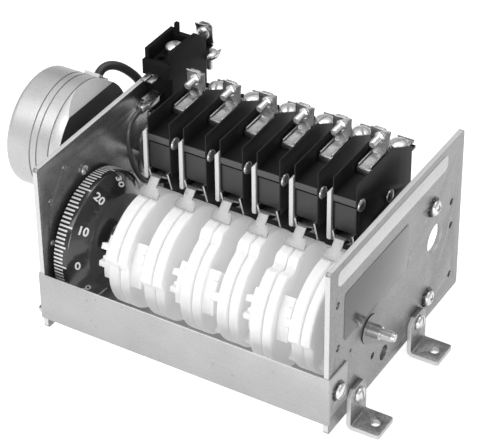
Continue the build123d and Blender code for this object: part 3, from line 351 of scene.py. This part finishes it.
# Near black for the sides of the deck's cheeks and the flange under the deck: painted shade
cheekShadeSheet = mouldedFinish("cheekShadeSheet", 0.01, 0.45, Specular_IOR_Level=0.3)
# A lighter copy of the switch black for the bead along each body's front top edge: painted highlight
beadHighlight = mouldedFinish("beadHighlight", 0.045, 0.3)
# A darker copy of the switch black for the bodies' tops, as painted shade, with some dust
bodyTopShade = mouldedFinish("bodyTopShade", 0.006, 0.42, dust=0.05, Specular_IOR_Level=0.14)
leverSheet = sheetFinish("leverSheet", 0.34, 0.48, metal=0.85, relief=0.002)
sheetEdge = mouldedFinish("sheetEdge", 0.02, 0.5, Specular_IOR_Level=0.1)
# A light, less metallic copy of the zinc for edges and rims: painted highlight
highlightEdge = sheetFinish("highlightEdge", 0.52, 0.5, metal=0.25, change=0.1)
bracketSheet = sheetFinish("bracketSheet", 0.36, 0.46, grain=1.2, change=0.32)
rivetSteel = brightFinish("rivetSteel", 0.42, 0.3, scratches=0.2)
shaftSteel = brightFinish("shaftSteel", 0.62, 0.33, scratches=0.05)
toothDark = brightFinish("toothDark", 0.2, 0.4)
# Near black for the rim of the right bushing's flange, drawing a dark ring: painted shade
flangeRimShade = mouldedFinish("flangeRimShade", 0.03, 0.4)
markPaint = mouldedFinish("markPaint", 0.62, 0.45, change=0.05)
print("finishes written")


# ---- modelling tools ----
def deselectAll():
    if bpy.context.object and bpy.context.object.mode != "OBJECT":
        bpy.ops.object.mode_set(mode="OBJECT")
    bpy.ops.object.select_all(action="DESELECT")


def select(piece):
    deselectAll()
    piece.select_set(True)
    bpy.context.view_layer.objects.active = piece
    return piece


def applyPlace(piece):
    select(piece)
    bpy.ops.object.transform_apply(location=True, rotation=True, scale=True)
    return piece


def applyModifier(piece, kind, **settings):
    select(piece)
    modifier = piece.modifiers.new(kind.lower(), kind)
    for name, value in settings.items():
        setattr(modifier, name, value)
    bpy.ops.object.modifier_apply(modifier=modifier.name)


def bevelEdges(piece, width, segments=2, angle=35):
    applyModifier(
        piece, "BEVEL", width=width * mm, segments=segments, limit_method="ANGLE",
        angle_limit=math.radians(angle), use_clamp_overlap=True,
    )


def smooth(piece, angle=30):
    select(piece)
    bpy.ops.object.shade_smooth_by_angle(angle=math.radians(angle))


def outward(piece):
    select(piece)
    bpy.ops.object.mode_set(mode="EDIT")
    bpy.ops.mesh.select_all(action="SELECT")
    bpy.ops.mesh.remove_doubles(threshold=0.0005 * mm)
    bpy.ops.mesh.normals_make_consistent(inside=False)
    bpy.ops.object.mode_set(mode="OBJECT")


def turned(sections, vertices=48):
    # A turned piece about Z: a disc is extruded and scaled from section to section (height, radius).
    deselectAll()
    height, radius = sections[0]
    bpy.ops.mesh.primitive_circle_add(
        vertices=vertices, radius=radius * mm, fill_type="NGON", location=(0, 0, height * mm)
    )
    piece = applyPlace(bpy.context.object)
    bpy.ops.object.mode_set(mode="EDIT")
    bpy.ops.mesh.select_all(action="SELECT")
    for (low, before), (high, after) in zip(sections, sections[1:]):
        bpy.ops.mesh.extrude_region_move(TRANSFORM_OT_translate={"value": (0, 0, (high - low) * mm)})
        if after != before:
            share = after / before
            bpy.ops.transform.resize(value=(share, share, 1), center_override=(0, 0, high * mm))
    bpy.ops.object.mode_set(mode="OBJECT")
    outward(piece)
    return piece


def box(low, high):
    deselectAll()
    middle = [(a + b) / 2 * mm for a, b in zip(low, high)]
    bpy.ops.mesh.primitive_cube_add(size=1, location=middle)
    piece = bpy.context.object
    piece.scale = [(b - a) * mm for a, b in zip(low, high)]
    return applyPlace(piece)


def cut(piece, cutter):
    applyModifier(piece, "BOOLEAN", operation="DIFFERENCE", solver="EXACT", object=cutter)
    bpy.data.objects.remove(cutter)


def put(piece, place, aim=(0, 0, 1), spin=0.0):
    # Spins a piece about its own axis, aims it and moves it.
    spun = Matrix.Rotation(math.radians(spin), 4, "Z")
    turn = Vector(aim).to_track_quat("Z", "Y").to_matrix().to_4x4() @ spun
    piece.matrix_world = Matrix.Translation(Vector(place) * mm) @ turn
    return applyPlace(piece)


def placed(template, place, aim=(0, 0, 1), spin=0.0):
    # The same for a copy with its own mesh.
    twin = template.copy()
    twin.data = template.data.copy()
    bpy.context.scene.collection.objects.link(twin)
    return put(twin, place, aim, spin)


def joined(pieces):
    deselectAll()
    for piece in pieces:
        piece.select_set(True)
    bpy.context.view_layer.objects.active = pieces[0]
    bpy.ops.object.join()
    return pieces[0]


def discard(*templates):
    for template in templates:
        bpy.data.objects.remove(template)


def paint(piece, finish):
    piece.data.materials.clear()
    piece.data.materials.append(finish)


def fitPiece(piece, name, node, finish=None, body=None):
    # Names a new piece, gives it its finish, and lets it stand for a CAD node, or ride on a body beside it.
    piece.name = name
    paint(piece, finish or finishes[slots[node]])
    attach(piece, body or body_of(nodes[node])[0])
    if body is None:
        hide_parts(node)
    return piece


def dressed(node, corner, segments=2, angle=35, smoothAngle=32):
    # A copy of a CAD node with its flat faces merged and its sharp corners broken by a small bevel (mm).
    skin = nodes[node].copy()
    skin.data = nodes[node].data.copy()
    bpy.context.scene.collection.objects.link(skin)
    select(skin)
    if skin.data.has_custom_normals:
        bpy.ops.mesh.customdata_custom_splitnormals_clear()
    bpy.ops.object.mode_set(mode="EDIT")
    bpy.ops.mesh.select_all(action="SELECT")
    bpy.ops.mesh.remove_doubles(threshold=0.001 * mm)
    bpy.ops.mesh.dissolve_limited(angle_limit=math.radians(0.6))
    bpy.ops.object.mode_set(mode="OBJECT")
    if corner:
        bevelEdges(skin, corner, segments, angle)
    smooth(skin, smoothAngle)
    words = node.split("_")
    return fitPiece(skin, words[0] + "".join(word.capitalize() for word in words[1:]) + "Shape", node)


# ---- sheet metal, cams, levers and switches, dressed from the CAD nodes ----
# Width of the bevel on each node's sharp corners
cornerSizes = {
    "left_end_plate": 0.14, "right_end_plate": 0.14, "front_rail": 0.14, "base_pan": 0.12,
    "foot_brackets": 0.28, "left_bushing": 0.12, "right_bushing": 0.15, "dial": 0.35, "drive_gear": 0.06,
    "motor_pinion": 0.05, "motor_posts": 0.2, "motor_can": 0.0, "gear_case": 1.1, "switch_deck": 0.1,
    "pivot_rod": 0.15, "insulating_sheets": 0.08, "spacer_strips": 0.2, "contact_strips": 0.14,
    "rear_lugs": 0.14, "terminal_block": 0.3, "block_terminals": 0.12, "cable_grips": 0.25,
    "label_plates": 0.04,
}
for number in camNumbers:
    cornerSizes[f"cam_{number}_left"] = 0.35
    cornerSizes[f"cam_{number}_right"] = 0.35
    cornerSizes[f"follower_lever_{number}"] = 0.16
    cornerSizes[f"switch_body_{number}"] = 0.22
    cornerSizes[f"plunger_{number}"] = 0.0
shapes = {node: dressed(node, corner) for node, corner in cornerSizes.items()}
print("CAD nodes dressed:", len(shapes))


def paintFaces(piece, finish, test, smallest=0.0):
    # A further finish on the faces whose centre and normal pass the test, over the smallest area in mm2.
    piece.data.materials.append(finish)
    for face in piece.data.polygons:
        if face.area / mm ** 2 >= smallest and test(face.center / mm, face.normal):
            face.material_index = len(piece.data.materials) - 1


# Where the further finishes, painted shade and painted highlights among them, begin and end, and the shares
# of a normal that tell faces apart
paintFacts = {
    "stripAbove": 80,  # the light label strip lies higher, the dark panel lower
    "wireHole": (46.7, 51.1), "wireHoleReach": 9,  # y and z
    "edgeArea": 2.5,  # mm2, so that the walls of the small holes stay plain
    "footOut": 85,
    "deckTop": 64.5,
    "beadAbove": 95.4,
    "caseCone": (0.3, 0.995), "caseFlat": (0.753, 0.02),
    "flat": 0.995, "nearlyFlat": 0.8, "mostly": 0.7, "edge": 0.6, "slanted": 0.4,
}


def everyFace(at, way):
    return True


def sheetRim(at, way):
    return abs(way.x) < paintFacts["edge"]


def facesInside(at, way):
    return way.x > paintFacts["mostly"]


def wireHoleWall(at, way):
    y, z = paintFacts["wireHole"]
    nearHole = math.hypot(at.y - y, at.z - z) < paintFacts["wireHoleReach"]
    return abs(way.x) < paintFacts["nearlyFlat"] and nearHole


def footEdge(at, way):
    footEnd = abs(way.x) > paintFacts["edge"] and abs(at.x) > paintFacts["footOut"]
    return abs(way.y) > paintFacts["edge"] or footEnd


def caseRim(at, way):
    low, high = paintFacts["caseCone"]
    flat, share = paintFacts["caseFlat"]
    return low < way.x < high and abs(way.x - flat) > share


def cheekSide(at, way):
    return at.z > paintFacts["deckTop"] and abs(way.x) > paintFacts["mostly"]


def cheekFront(at, way):
    return at.z > paintFacts["deckTop"] and way.y < -0.5


def bodyBead(at, way):
    return at.z > paintFacts["beadAbove"] and way.y < -paintFacts["slanted"]


paintFaces(shapes["insulating_sheets"], sheetEdge, sheetRim)
paintFaces(shapes["label_plates"], stripFoil, lambda at, way: at.z > paintFacts["stripAbove"])
# The left plate's inner face in the darker zinc, as painted shade
paintFaces(shapes["left_end_plate"], innerShadeSheet, facesInside)
# Plate rims, the wall of the wire hole, the rail's top and bottom and the brackets' edges in the light edge
# finish, as painted highlight
for side in ("left", "right"):
    paintFaces(shapes[f"{side}_end_plate"], highlightEdge, sheetRim, paintFacts["edgeArea"])
paintFaces(shapes["right_end_plate"], highlightEdge, wireHoleWall)
paintFaces(shapes["front_rail"], highlightEdge, lambda at, way: abs(way.z) > paintFacts["nearlyFlat"])
paintFaces(shapes["foot_brackets"], bracketSheet, everyFace)
paintFaces(shapes["foot_brackets"], highlightEdge, footEdge)
# The bushing flange's rim near black, as painted shade
paintFaces(shapes["right_bushing"], flangeRimShade, lambda at, way: abs(way.x) < paintFacts["nearlyFlat"])
paintFaces(shapes["base_pan"], panSheet, everyFace)
# The gear case's bevelled rim in the light edge finish, as painted highlight
paintFaces(shapes["gear_case"], highlightEdge, caseRim)
# The gear case's flat outer face near black, as painted shade
paintFaces(shapes["gear_case"], caseFaceShade, lambda at, way: way.x > paintFacts["flat"])
# The cheeks' sides near black, as painted shade
paintFaces(shapes["switch_deck"], cheekShadeSheet, cheekSide)
# The cheeks' front edges in the light edge finish, as painted highlight
paintFaces(shapes["switch_deck"], highlightEdge, cheekFront)
for number in camNumbers:
    # The bead lighter than the body, as painted highlight
    paintFaces(shapes[f"switch_body_{number}"], beadHighlight, bodyBead)
    # The bodies' tops darker, as painted shade
    paintFaces(shapes[f"switch_body_{number}"], bodyTopShade, lambda at, way: way.z > paintFacts["nearlyFlat"])
    paintFaces(shapes[f"follower_lever_{number}"], leverSheet, everyFace)
print("further finishes painted")


# ---- small changes of form ----
# A front flange under the deck, behind the cams, near black as painted shade
deckFlangeBox = ((-47, 8.2, 59.2), (68, 9.0, 63.1))
# The motor's strain relief is a stouter block than its solid
reliefFacts = {
    "insideOf": -88,
    "middle": (-96, 25.76, 96.4),
    "stouter": (1.3, 1.3, 1.35),
    "shift": (1.2, -0.8, -0.9),
}
# What is cut off, as lowest and highest corners
trimBoxes = {
    "right_bushing": [((75.6, -30, 25), (80, 0, 60))],  # its flange is a thin disc
    "rear_lugs": [((-80, 51.0, 96.4), (80, 60, 110))],  # their upright ends stay below the washers
    "terminal_block": [  # it ends low at the back, with a terminal on its step
        ((-80, 68.2, 90), (-50, 90, 100.3)), ((-80, 72.0, 90), (-50, 90, 105)),
    ],
    "block_terminals": [((-80, 72.0, 100.5), (-50, 90, 103))],
}
for number in camNumbers:
    # The bodies end behind their sheets, under a thin ledge that carries the rear lugs
    trimBoxes[f"switch_body_{number}"] = [((-80, 47.2, 70), (80, 62, 93.8))]


def widenRelief():
    facts = reliefFacts
    grips = select(shapes["cable_grips"])
    for part in (grips.data.vertices, grips.data.edges, grips.data.polygons):
        for element in part:
            element.select = False
    for vertex in grips.data.vertices:
        vertex.select = vertex.co.x < facts["insideOf"] * mm
    bpy.ops.object.mode_set(mode="EDIT")
    middle = [value * mm for value in facts["middle"]]
    bpy.ops.transform.resize(value=facts["stouter"], center_override=middle)
    bpy.ops.transform.translate(value=[value * mm for value in facts["shift"]])
    bpy.ops.object.mode_set(mode="OBJECT")


fitPiece(box(*deckFlangeBox), "deckFlange", "switch_deck", cheekShadeSheet, "frame")
widenRelief()
for node, boxes in trimBoxes.items():
    for corners in boxes:
        cut(shapes[node], box(*corners))
print("forms trimmed")


# ---- setting dial: ticks and plain numbers ----
dialMarks = {
    "ticks": 100,
    "firstAngle": 1.49,  # degrees from the front, upwards
    "rimRadius": 31.45, "faceRadius": 22.6, "coneLong": 6.9,
    "leftEnd": -71.07,
    "rightEnds": {1: -66.27, 5: -65.3, 10: -64.2},
    "tickWidth": 0.86,
    "proud": 0.03,
    "sunk": 0.12,
    "numberPlace": (-60.7, 27.4),  # x and radius
    "numberSize": 5.7,
    "numberStep": 10,
    "boldness": 0.14,
    "halfThick": 0.09,
}


def radialFrame(degrees, slant=0.0):
    # Columns: along X tilted inwards by slant, round the dial upwards from the front, and out of its face.
    angle = math.radians(degrees)
    out = Vector((0, -math.cos(angle), math.sin(angle)))
    around = Vector((0, math.sin(angle), math.cos(angle)))
    along = Vector((1, 0, 0)) * math.cos(slant) - out * math.sin(slant)
    return Matrix((along, around, along.cross(around))).transposed().to_4x4(), out


def makeTicks():
    facts = dialMarks
    pattern = box((-0.5, -0.5, -0.5), (0.5, 0.5, 0.5))
    ticks = []
    for number in range(facts["ticks"]):
        step = 10 if number % 10 == 0 else 5 if number % 5 == 0 else 1
        right = facts["rightEnds"][step]
        turn, out = radialFrame(facts["firstAngle"] + 360 / facts["ticks"] * number)
        middle = Vector(((facts["leftEnd"] + right) / 2, shaftY, shaftZ))
        middle += out * (facts["rimRadius"] + (facts["proud"] - facts["sunk"]) / 2)
        tick = pattern.copy()
        tick.data = pattern.data.copy()
        bpy.context.scene.collection.objects.link(tick)
        size = (right - facts["leftEnd"], facts["tickWidth"], facts["proud"] + facts["sunk"])
        tick.matrix_world = Matrix.Translation(middle * mm) @ turn @ Matrix.Diagonal((*size, 1))
        ticks.append(applyPlace(tick))
    discard(pattern)
    marks = joined(ticks)
    return fitPiece(marks, "dialTicks", "dial", markPaint, "camshaft")


def makeNumbers():
    facts = dialMarks
    x, radius = facts["numberPlace"]
    slant = math.atan2(facts["rimRadius"] - facts["faceRadius"], facts["coneLong"])
    numbers = []
    for number in range(0, facts["ticks"], facts["numberStep"]):
        deselectAll()
        bpy.ops.object.text_add()
        text = bpy.context.object
        text.data.body = str(number)
        text.data.size = facts["numberSize"] * mm
        text.data.align_x = "CENTER"
        text.data.align_y = "CENTER"
        text.data.offset = facts["boldness"] * mm
        text.data.extrude = facts["halfThick"] * mm
        text.data.resolution_u = 4
        bpy.ops.object.convert(target="MESH")
        text = bpy.context.object
        turn, out = radialFrame(facts["firstAngle"] + 360 / facts["ticks"] * number, slant)
        place = Vector((x, shaftY, shaftZ)) + out * radius
        text.matrix_world = Matrix.Translation(place * mm) @ turn
        numbers.append(applyPlace(text))
    marks = joined(numbers)
    outward(marks)
    return fitPiece(marks, "dialNumbers", "dial", markPaint, "camshaft")


makeTicks()
makeNumbers()
print("dial marked")


# ---- camshaft with its threaded end ----
shaftFacts = {
    "left": -83.95, "right": 87.95, "shoulder": 81.15, "radius": 3.175, "chamfer": 0.45,
    "shoulderChamfer": 0.25, "threadStart": 81.55, "endChamfer": 0.35, "endCentre": 0.3,
    "threadRadius": 2.4, "threadDepth": 0.2, "threadPitch": 0.64, "threadEnd": 87.3,
    "holeRadius": 0.8, "holeBack": 2.4, "holeHalf": 5, "holeAim": (0, -0.45, -0.89),
    "undercut": 0.02,
}
threadShares = (0.42, 0.58)  # where a crest begins and ends, as shares of the pitch


def threadSections(start, end, radius, depth, pitch):
    # Crests and roots of a thread, as sections of a turned piece.
    crestStart, crestEnd = threadShares
    sections = []
    height = start
    while height + pitch <= end:
        sections.append((height, radius - depth))
        sections += [(height + pitch * crestStart, radius), (height + pitch * crestEnd, radius)]
        height += pitch
    return sections + [(height, radius - depth)]


def makeShaft():
    facts = shaftFacts
    radius, bevel, shoulder = facts["radius"], facts["chamfer"], facts["shoulder"]
    crest, depth = facts["threadRadius"], facts["threadDepth"]
    core = crest - depth
    sections = [
        (facts["left"], radius - bevel), (facts["left"] + bevel, radius),
        (shoulder - facts["shoulderChamfer"], radius), (shoulder, radius - facts["shoulderChamfer"]),
        (shoulder + facts["undercut"], core),
    ]
    sections += threadSections(facts["threadStart"], facts["threadEnd"], crest, depth, facts["threadPitch"])
    sections += [(facts["right"], core - facts["endChamfer"]), (facts["right"], facts["endCentre"])]
    shaft = put(turned(sections, 64), (0, shaftY, shaftZ), (1, 0, 0))
    drill = turned([(-facts["holeHalf"], facts["holeRadius"]), (facts["holeHalf"], facts["holeRadius"])], 24)
    cut(shaft, put(drill, (shoulder - facts["holeBack"], shaftY, shaftZ), facts["holeAim"]))
    smooth(shaft, 34)
    return fitPiece(shaft, "camshaftTurned", "camshaft", shaftSteel)


makeShaft()
print("camshaft turned")


# ---- screws, lock washers and terminal hardware ----
screwFacts = {
    "slotWide": 1.15, "slotDeep": 1.05, "crossLong": 0.5, "crossWide": 0.42, "crossDeep": 1.2,
    "tip": (0.35, 0.4),  # chamfer of the shank's end
    "frame": {"head": 3.7, "high": 2.35, "shank": 2.0},
    "post": {"head": 2.4, "high": 1.3, "shank": 1.5},
    "terminal": {"head": 4.35, "high": 2.3, "shank": 1.7},
    "rivet": {"head": 3.1, "high": 1.5, "shank": 1.55},
    "lug": {"head": 3.3, "high": 2.25, "shank": 1.7},
    "lockOuter": 4.85, "lockInner": 2.05, "lockRoot": 3.9, "lockThick": 0.45, "lockTeeth": 12,
    "lockTwist": 32, "lockRise": 0.1, "lockStack": 0.66, "toothHalf": 0.55, "toothBite": 0.35,
}
# A domed head's sections, as shares of its height and radius
domeShares = (
    (0, 0.95), (0.1, 1), (0.42, 0.99), (0.62, 0.92), (0.8, 0.75), (0.93, 0.46), (0.98, 0.25),
)
# Place y and z, outer face, inner end, lock washer, crossed recess, spin
sideScrews = (
    ((-46.3, 29.4), 76.05, 72.75, True, False, 20),
    ((43.7, 70.4), 75.15, 71.55, True, True, 70),
    ((40.75, 21.1), 75.15, 71.95, True, True, 50),
    ((-29.1, 15.2), 77.35, 71.95, False, False, 80),
    ((29.1, 15.2), 77.35, 71.95, False, False, 60),
)
blockScrews = (((49.0, 88.0), 75.15, 65.75, 30), ((60.0, 88.0), 75.15, 65.75, 75))
postScrews = ((17.41, 51.85, 35), (29.55, 85.21, 70), (-18.2, 76.79, 120))
postScrewPlane, postScrewDeep = -72.75, 7.3
rearTurns = (4, -7, 6, -3, 8, -6)
# Seats of the terminals' screws and washers: x, y and z, or y and z where each switch has one
terminalFacts = {
    "rearScrew": (45.5, 96.82), "rearWasher": (45.5, 96.06), "rearDeep": 8.0,
    "stepScrew": (-59.2, 70.1, 96.1), "stepWasher": (-59.2, 70.1, 95.4),
    "topScrew": (-64.4, 47.8, 110.02),
    "frontStub": (26.25, 111.4), "stubLeft": 0.3, "frontWasher": (27.47, 111.25), "washerRight": 0.25,
    "stubLong": 6.5, "stubThread": (-6.2, -0.2, 0.14, 0.7), "collar": ((-0.1, 2.5), (0.5, 2.7), (1.9, 2.5)),
    "headStart": 2.08,
    "backScrew": (-62.1, 70.18, 107.2), "backWasher": (-62.1, 70.97, 107.2), "backDeep": 4.5,
    "rearCup": (4.3, 1.9, 0.7), "frontCup": (4.45, 0.35, 0.6),  # half side, rise of the corners, thickness
    "cupFrom": 0.5, "cupCurve": 1.4, "cupSpread": 0.1,
}
rivetFacts = {"seat": 6.32, "long": 14.6, "places": ((-2.2, 95.2), (25.0, 83.6))}  # y and z


def headSections(radius, height):
    return [(height * up, radius * out) for up, out in domeShares] + [(height, 0.1)]


def makeScrew(size, depth, crossed=False):
    # Head above Z = 0, shank below it.
    facts = screwFacts[size]
    radius, height, shank = facts["head"], facts["high"], facts["shank"]
    less, up = screwFacts["tip"]
    sections = [(-depth, shank - less), (-depth + up, shank), (-0.01, shank)]
    screw = turned(sections + headSections(radius, height), 40)
    wide, deep = screwFacts["slotWide"], screwFacts["slotDeep"]
    if crossed:
        halfLong, halfWide = radius * screwFacts["crossLong"], wide * screwFacts["crossWide"]
        floor = height - deep * screwFacts["crossDeep"]
        for angle in (0, 90):
            blade = box((-halfLong, -halfWide, floor), (halfLong, halfWide, height + 1))
            cut(screw, put(blade, (0, 0, 0), spin=angle))
    else:
        cut(screw, box((-radius - 1, -wide / 2, height - deep), (radius + 1, wide / 2, height + 1)))
    bevelEdges(screw, 0.07, 1, 40)
    smooth(screw, 28)
    return screw


def makeLockWasher():
    # A flat ring whose outer teeth are each twisted.
    facts = screwFacts
    thick, rise, root = facts["lockThick"], facts["lockRise"], facts["lockRoot"]
    ring = turned([(rise, root), (rise + thick, root)], 48)
    cut(ring, turned([(-1, facts["lockInner"]), (2, facts["lockInner"])], 32))
    half = facts["toothHalf"]
    tooth = box((root - facts["toothBite"], -half, -thick / 2), (facts["lockOuter"], half, thick / 2))
    select(tooth)
    bpy.ops.transform.rotate(
        value=math.radians(facts["lockTwist"]), orient_axis="X", center_override=(0, 0, 0)
    )
    applyPlace(tooth)
    teeth = [
        placed(tooth, (0, 0, rise + thick / 2), spin=360 / facts["lockTeeth"] * number)
        for number in range(facts["lockTeeth"])
    ]
    discard(tooth)
    washer = joined([ring] + teeth)
    smooth(washer, 30)
    return washer


def makeFrameScrews():
    washer = makeLockWasher()
    pieces = []
    for side in (-1, 1):
        for (y, z), face, inner, locked, crossed, spin in sideScrews:
            seat = face
            if locked:
                pieces.append(placed(washer, (side * face, y, z), (side, 0, 0), spin))
                seat += screwFacts["lockStack"]
            screw = makeScrew("frame" if side > 0 else "post", seat - inner, crossed)
            pieces.append(placed(screw, (side * seat, y, z), (side, 0, 0), spin + side * 13))
            discard(screw)
    for (y, z), face, inner, spin in blockScrews:
        screw = makeScrew("frame", face - inner)
        pieces.append(placed(screw, (-face, y, z), (-1, 0, 0), spin))
        discard(screw)
    screw = makeScrew("post", postScrewDeep)
    pieces += [placed(screw, (postScrewPlane, y, z), (1, 0, 0), spin) for y, z, spin in postScrews]
    discard(screw, washer)
    fitted = fitPiece(joined(pieces), "frameScrewSet", "frame_screws")
    lockSeats = [(place, face) for place, face, inner, locked, crossed, spin in sideScrews if locked]

    def onLockWasher(at, way):
        return any(
            math.hypot(at.y - y, at.z - z) < 5.5 and -0.4 < abs(at.x) - face < 0.64
            for (y, z), face in lockSeats
        )

    paintFaces(fitted, toothDark, onLockWasher)
    return fitted


def makeTerminalScrews():
    facts = terminalFacts
    screw = makeScrew("terminal", facts["rearDeep"])
    y, z = facts["rearScrew"]
    pieces = [placed(screw, (x, y, z), spin=90 + 5 * turn) for x, turn in zip(camCentres, rearTurns)]
    pieces.append(placed(screw, facts["topScrew"], spin=150))
    pieces.append(placed(screw, facts["stepScrew"], spin=60))
    lug = screwFacts["lug"]
    stub = lug["shank"]
    threadStart, threadEnd, depth, pitch = facts["stubThread"]
    sections = [(-facts["stubLong"], stub - 0.5), (threadStart, stub - 0.25)]
    sections += threadSections(threadStart, threadEnd, stub, depth, pitch) + list(facts["collar"])
    sections += [(up + facts["headStart"], out) for up, out in headSections(lug["head"], lug["high"])]
    lugScrew = turned(sections, 36)
    smooth(lugScrew, 34)
    # The stub comes out of the lug to the front, and the head closes it behind
    y, z = facts["frontStub"]
    pieces += [placed(lugScrew, (x - facts["stubLeft"], y, z), (0, 1, 0)) for x in camCentres]
    backScrew = makeScrew("lug", facts["backDeep"])
    pieces.append(placed(backScrew, facts["backScrew"], (0, -1, 0), 40))
    discard(screw, lugScrew, backScrew)
    return fitPiece(joined(pieces), "terminalScrewSet", "terminal_screws")


def makeCuppedWasher(half, rise, thick):
    # Square, with its corners bent up into barbs.
    facts = terminalFacts
    flat = facts["cupFrom"]
    deselectAll()
    bpy.ops.mesh.primitive_grid_add(
        x_subdivisions=8, y_subdivisions=8, size=2 * half * mm, location=(0, 0, 0)
    )
    washer = bpy.context.object
    for vertex in washer.data.vertices:
        corner = min(abs(vertex.co.x), abs(vertex.co.y)) / (half * mm)
        lift = max(0.0, corner - flat) / (1 - flat)
        vertex.co.z = rise * mm * lift ** facts["cupCurve"]
        vertex.co.x *= 1 + facts["cupSpread"] * lift
        vertex.co.y *= 1 + facts["cupSpread"] * lift
    applyModifier(washer, "SOLIDIFY", thickness=thick * mm, offset=1.0)
    bevelEdges(washer, 0.1, 1)
    smooth(washer, 40)
    return washer


def makeTerminalWashers():
    facts = terminalFacts
    rear = makeCuppedWasher(*facts["rearCup"])
    front = makeCuppedWasher(*facts["frontCup"])
    pieces = []
    for x, turn in zip(camCentres, rearTurns):
        pieces.append(placed(rear, (x, *facts["rearWasher"]), spin=turn))
        frontPlace = (x + facts["washerRight"], *facts["frontWasher"])
        pieces.append(placed(front, frontPlace, (0, -1, 0), turn * 0.4))
    pieces.append(placed(front, facts["backWasher"], (0, -1, 0), 5))
    pieces.append(placed(rear, facts["stepWasher"], spin=12))
    discard(rear, front)
    return fitPiece(joined(pieces), "terminalWasherSet", "terminal_washers")


def makeRivets():
    # Domed heads on the right of each switch; their shanks end inside the stack.
    facts = screwFacts["rivet"]
    sections = [(-rivetFacts["long"], facts["shank"]), (-0.01, facts["shank"])]
    rivet = turned(sections + headSections(facts["head"], facts["high"]), 36)
    smooth(rivet, 40)
    pieces = [
        placed(rivet, (x + rivetFacts["seat"], y, z), (1, 0, 0))
        for x in camCentres for y, z in rivetFacts["places"]
    ]
    discard(rivet)
    return fitPiece(joined(pieces), "switchRivetSet", "switch_rivets", rivetSteel)


makeFrameScrews()
makeTerminalScrews()
makeTerminalWashers()
makeRivets()
print("screws and washers fitted")


# ---- cords: they replace their tubes ----
for name, cord in cords.items():
    facts = cordFacts[name]
    cord.data.materials.append(finishes[slots[facts["node"]]])
    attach(cord, "frame")
    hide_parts(facts["node"])


# ---- the CAD nodes themselves, all hidden now, get their slots' finishes too ----
for name, piece in nodes.items():
    paint(piece, finishes[slots[name]])


def makeStudio():
    world = bpy.data.worlds.new("studioWorld")
    world.use_nodes = True
    # The room is dim at the height of the object, and lit overhead
    worldNodes, links = world.node_tree.nodes, world.node_tree.links
    kinds = ("TexCoord", "SeparateXYZ", "ValToRGB")
    toward, parts, bands = (worldNodes.new("ShaderNode" + kind) for kind in kinds)
    while len(bands.color_ramp.elements) < len(studioFacts["skyBands"]):
        bands.color_ramp.elements.new(0.5)
    for element, (height, shade) in zip(bands.color_ramp.elements, studioFacts["skyBands"]):
        element.position = height
        element.color = (shade, shade, shade, 1)
    links.new(toward.outputs["Generated"], parts.inputs[0])
    links.new(parts.outputs["Z"], bands.inputs[0])
    links.new(bands.outputs[0], worldNodes["Background"].inputs["Color"])
    worldNodes["Background"].inputs["Strength"].default_value = studioFacts["sky"]
    bpy.context.scene.world = world
    deselectAll()
    drop = studioFacts["floorDrop"]
    bpy.ops.mesh.primitive_plane_add(size=studioFacts["floorSize"], location=(0, 0, -drop))
    floor = bpy.context.object
    floor.name = "studioFloor"
    paper = mouldedFinish(
        "floorPaper", studioFacts["floorShade"], 0.9, grain=20, change=0.01, Emission_Color=(1, 1, 1, 1),
        Emission_Strength=studioFacts["floorGlow"],
    )
    floor.data.materials.append(paper)
    bpy.context.scene.view_settings.view_transform = "Standard"


makeStudio()
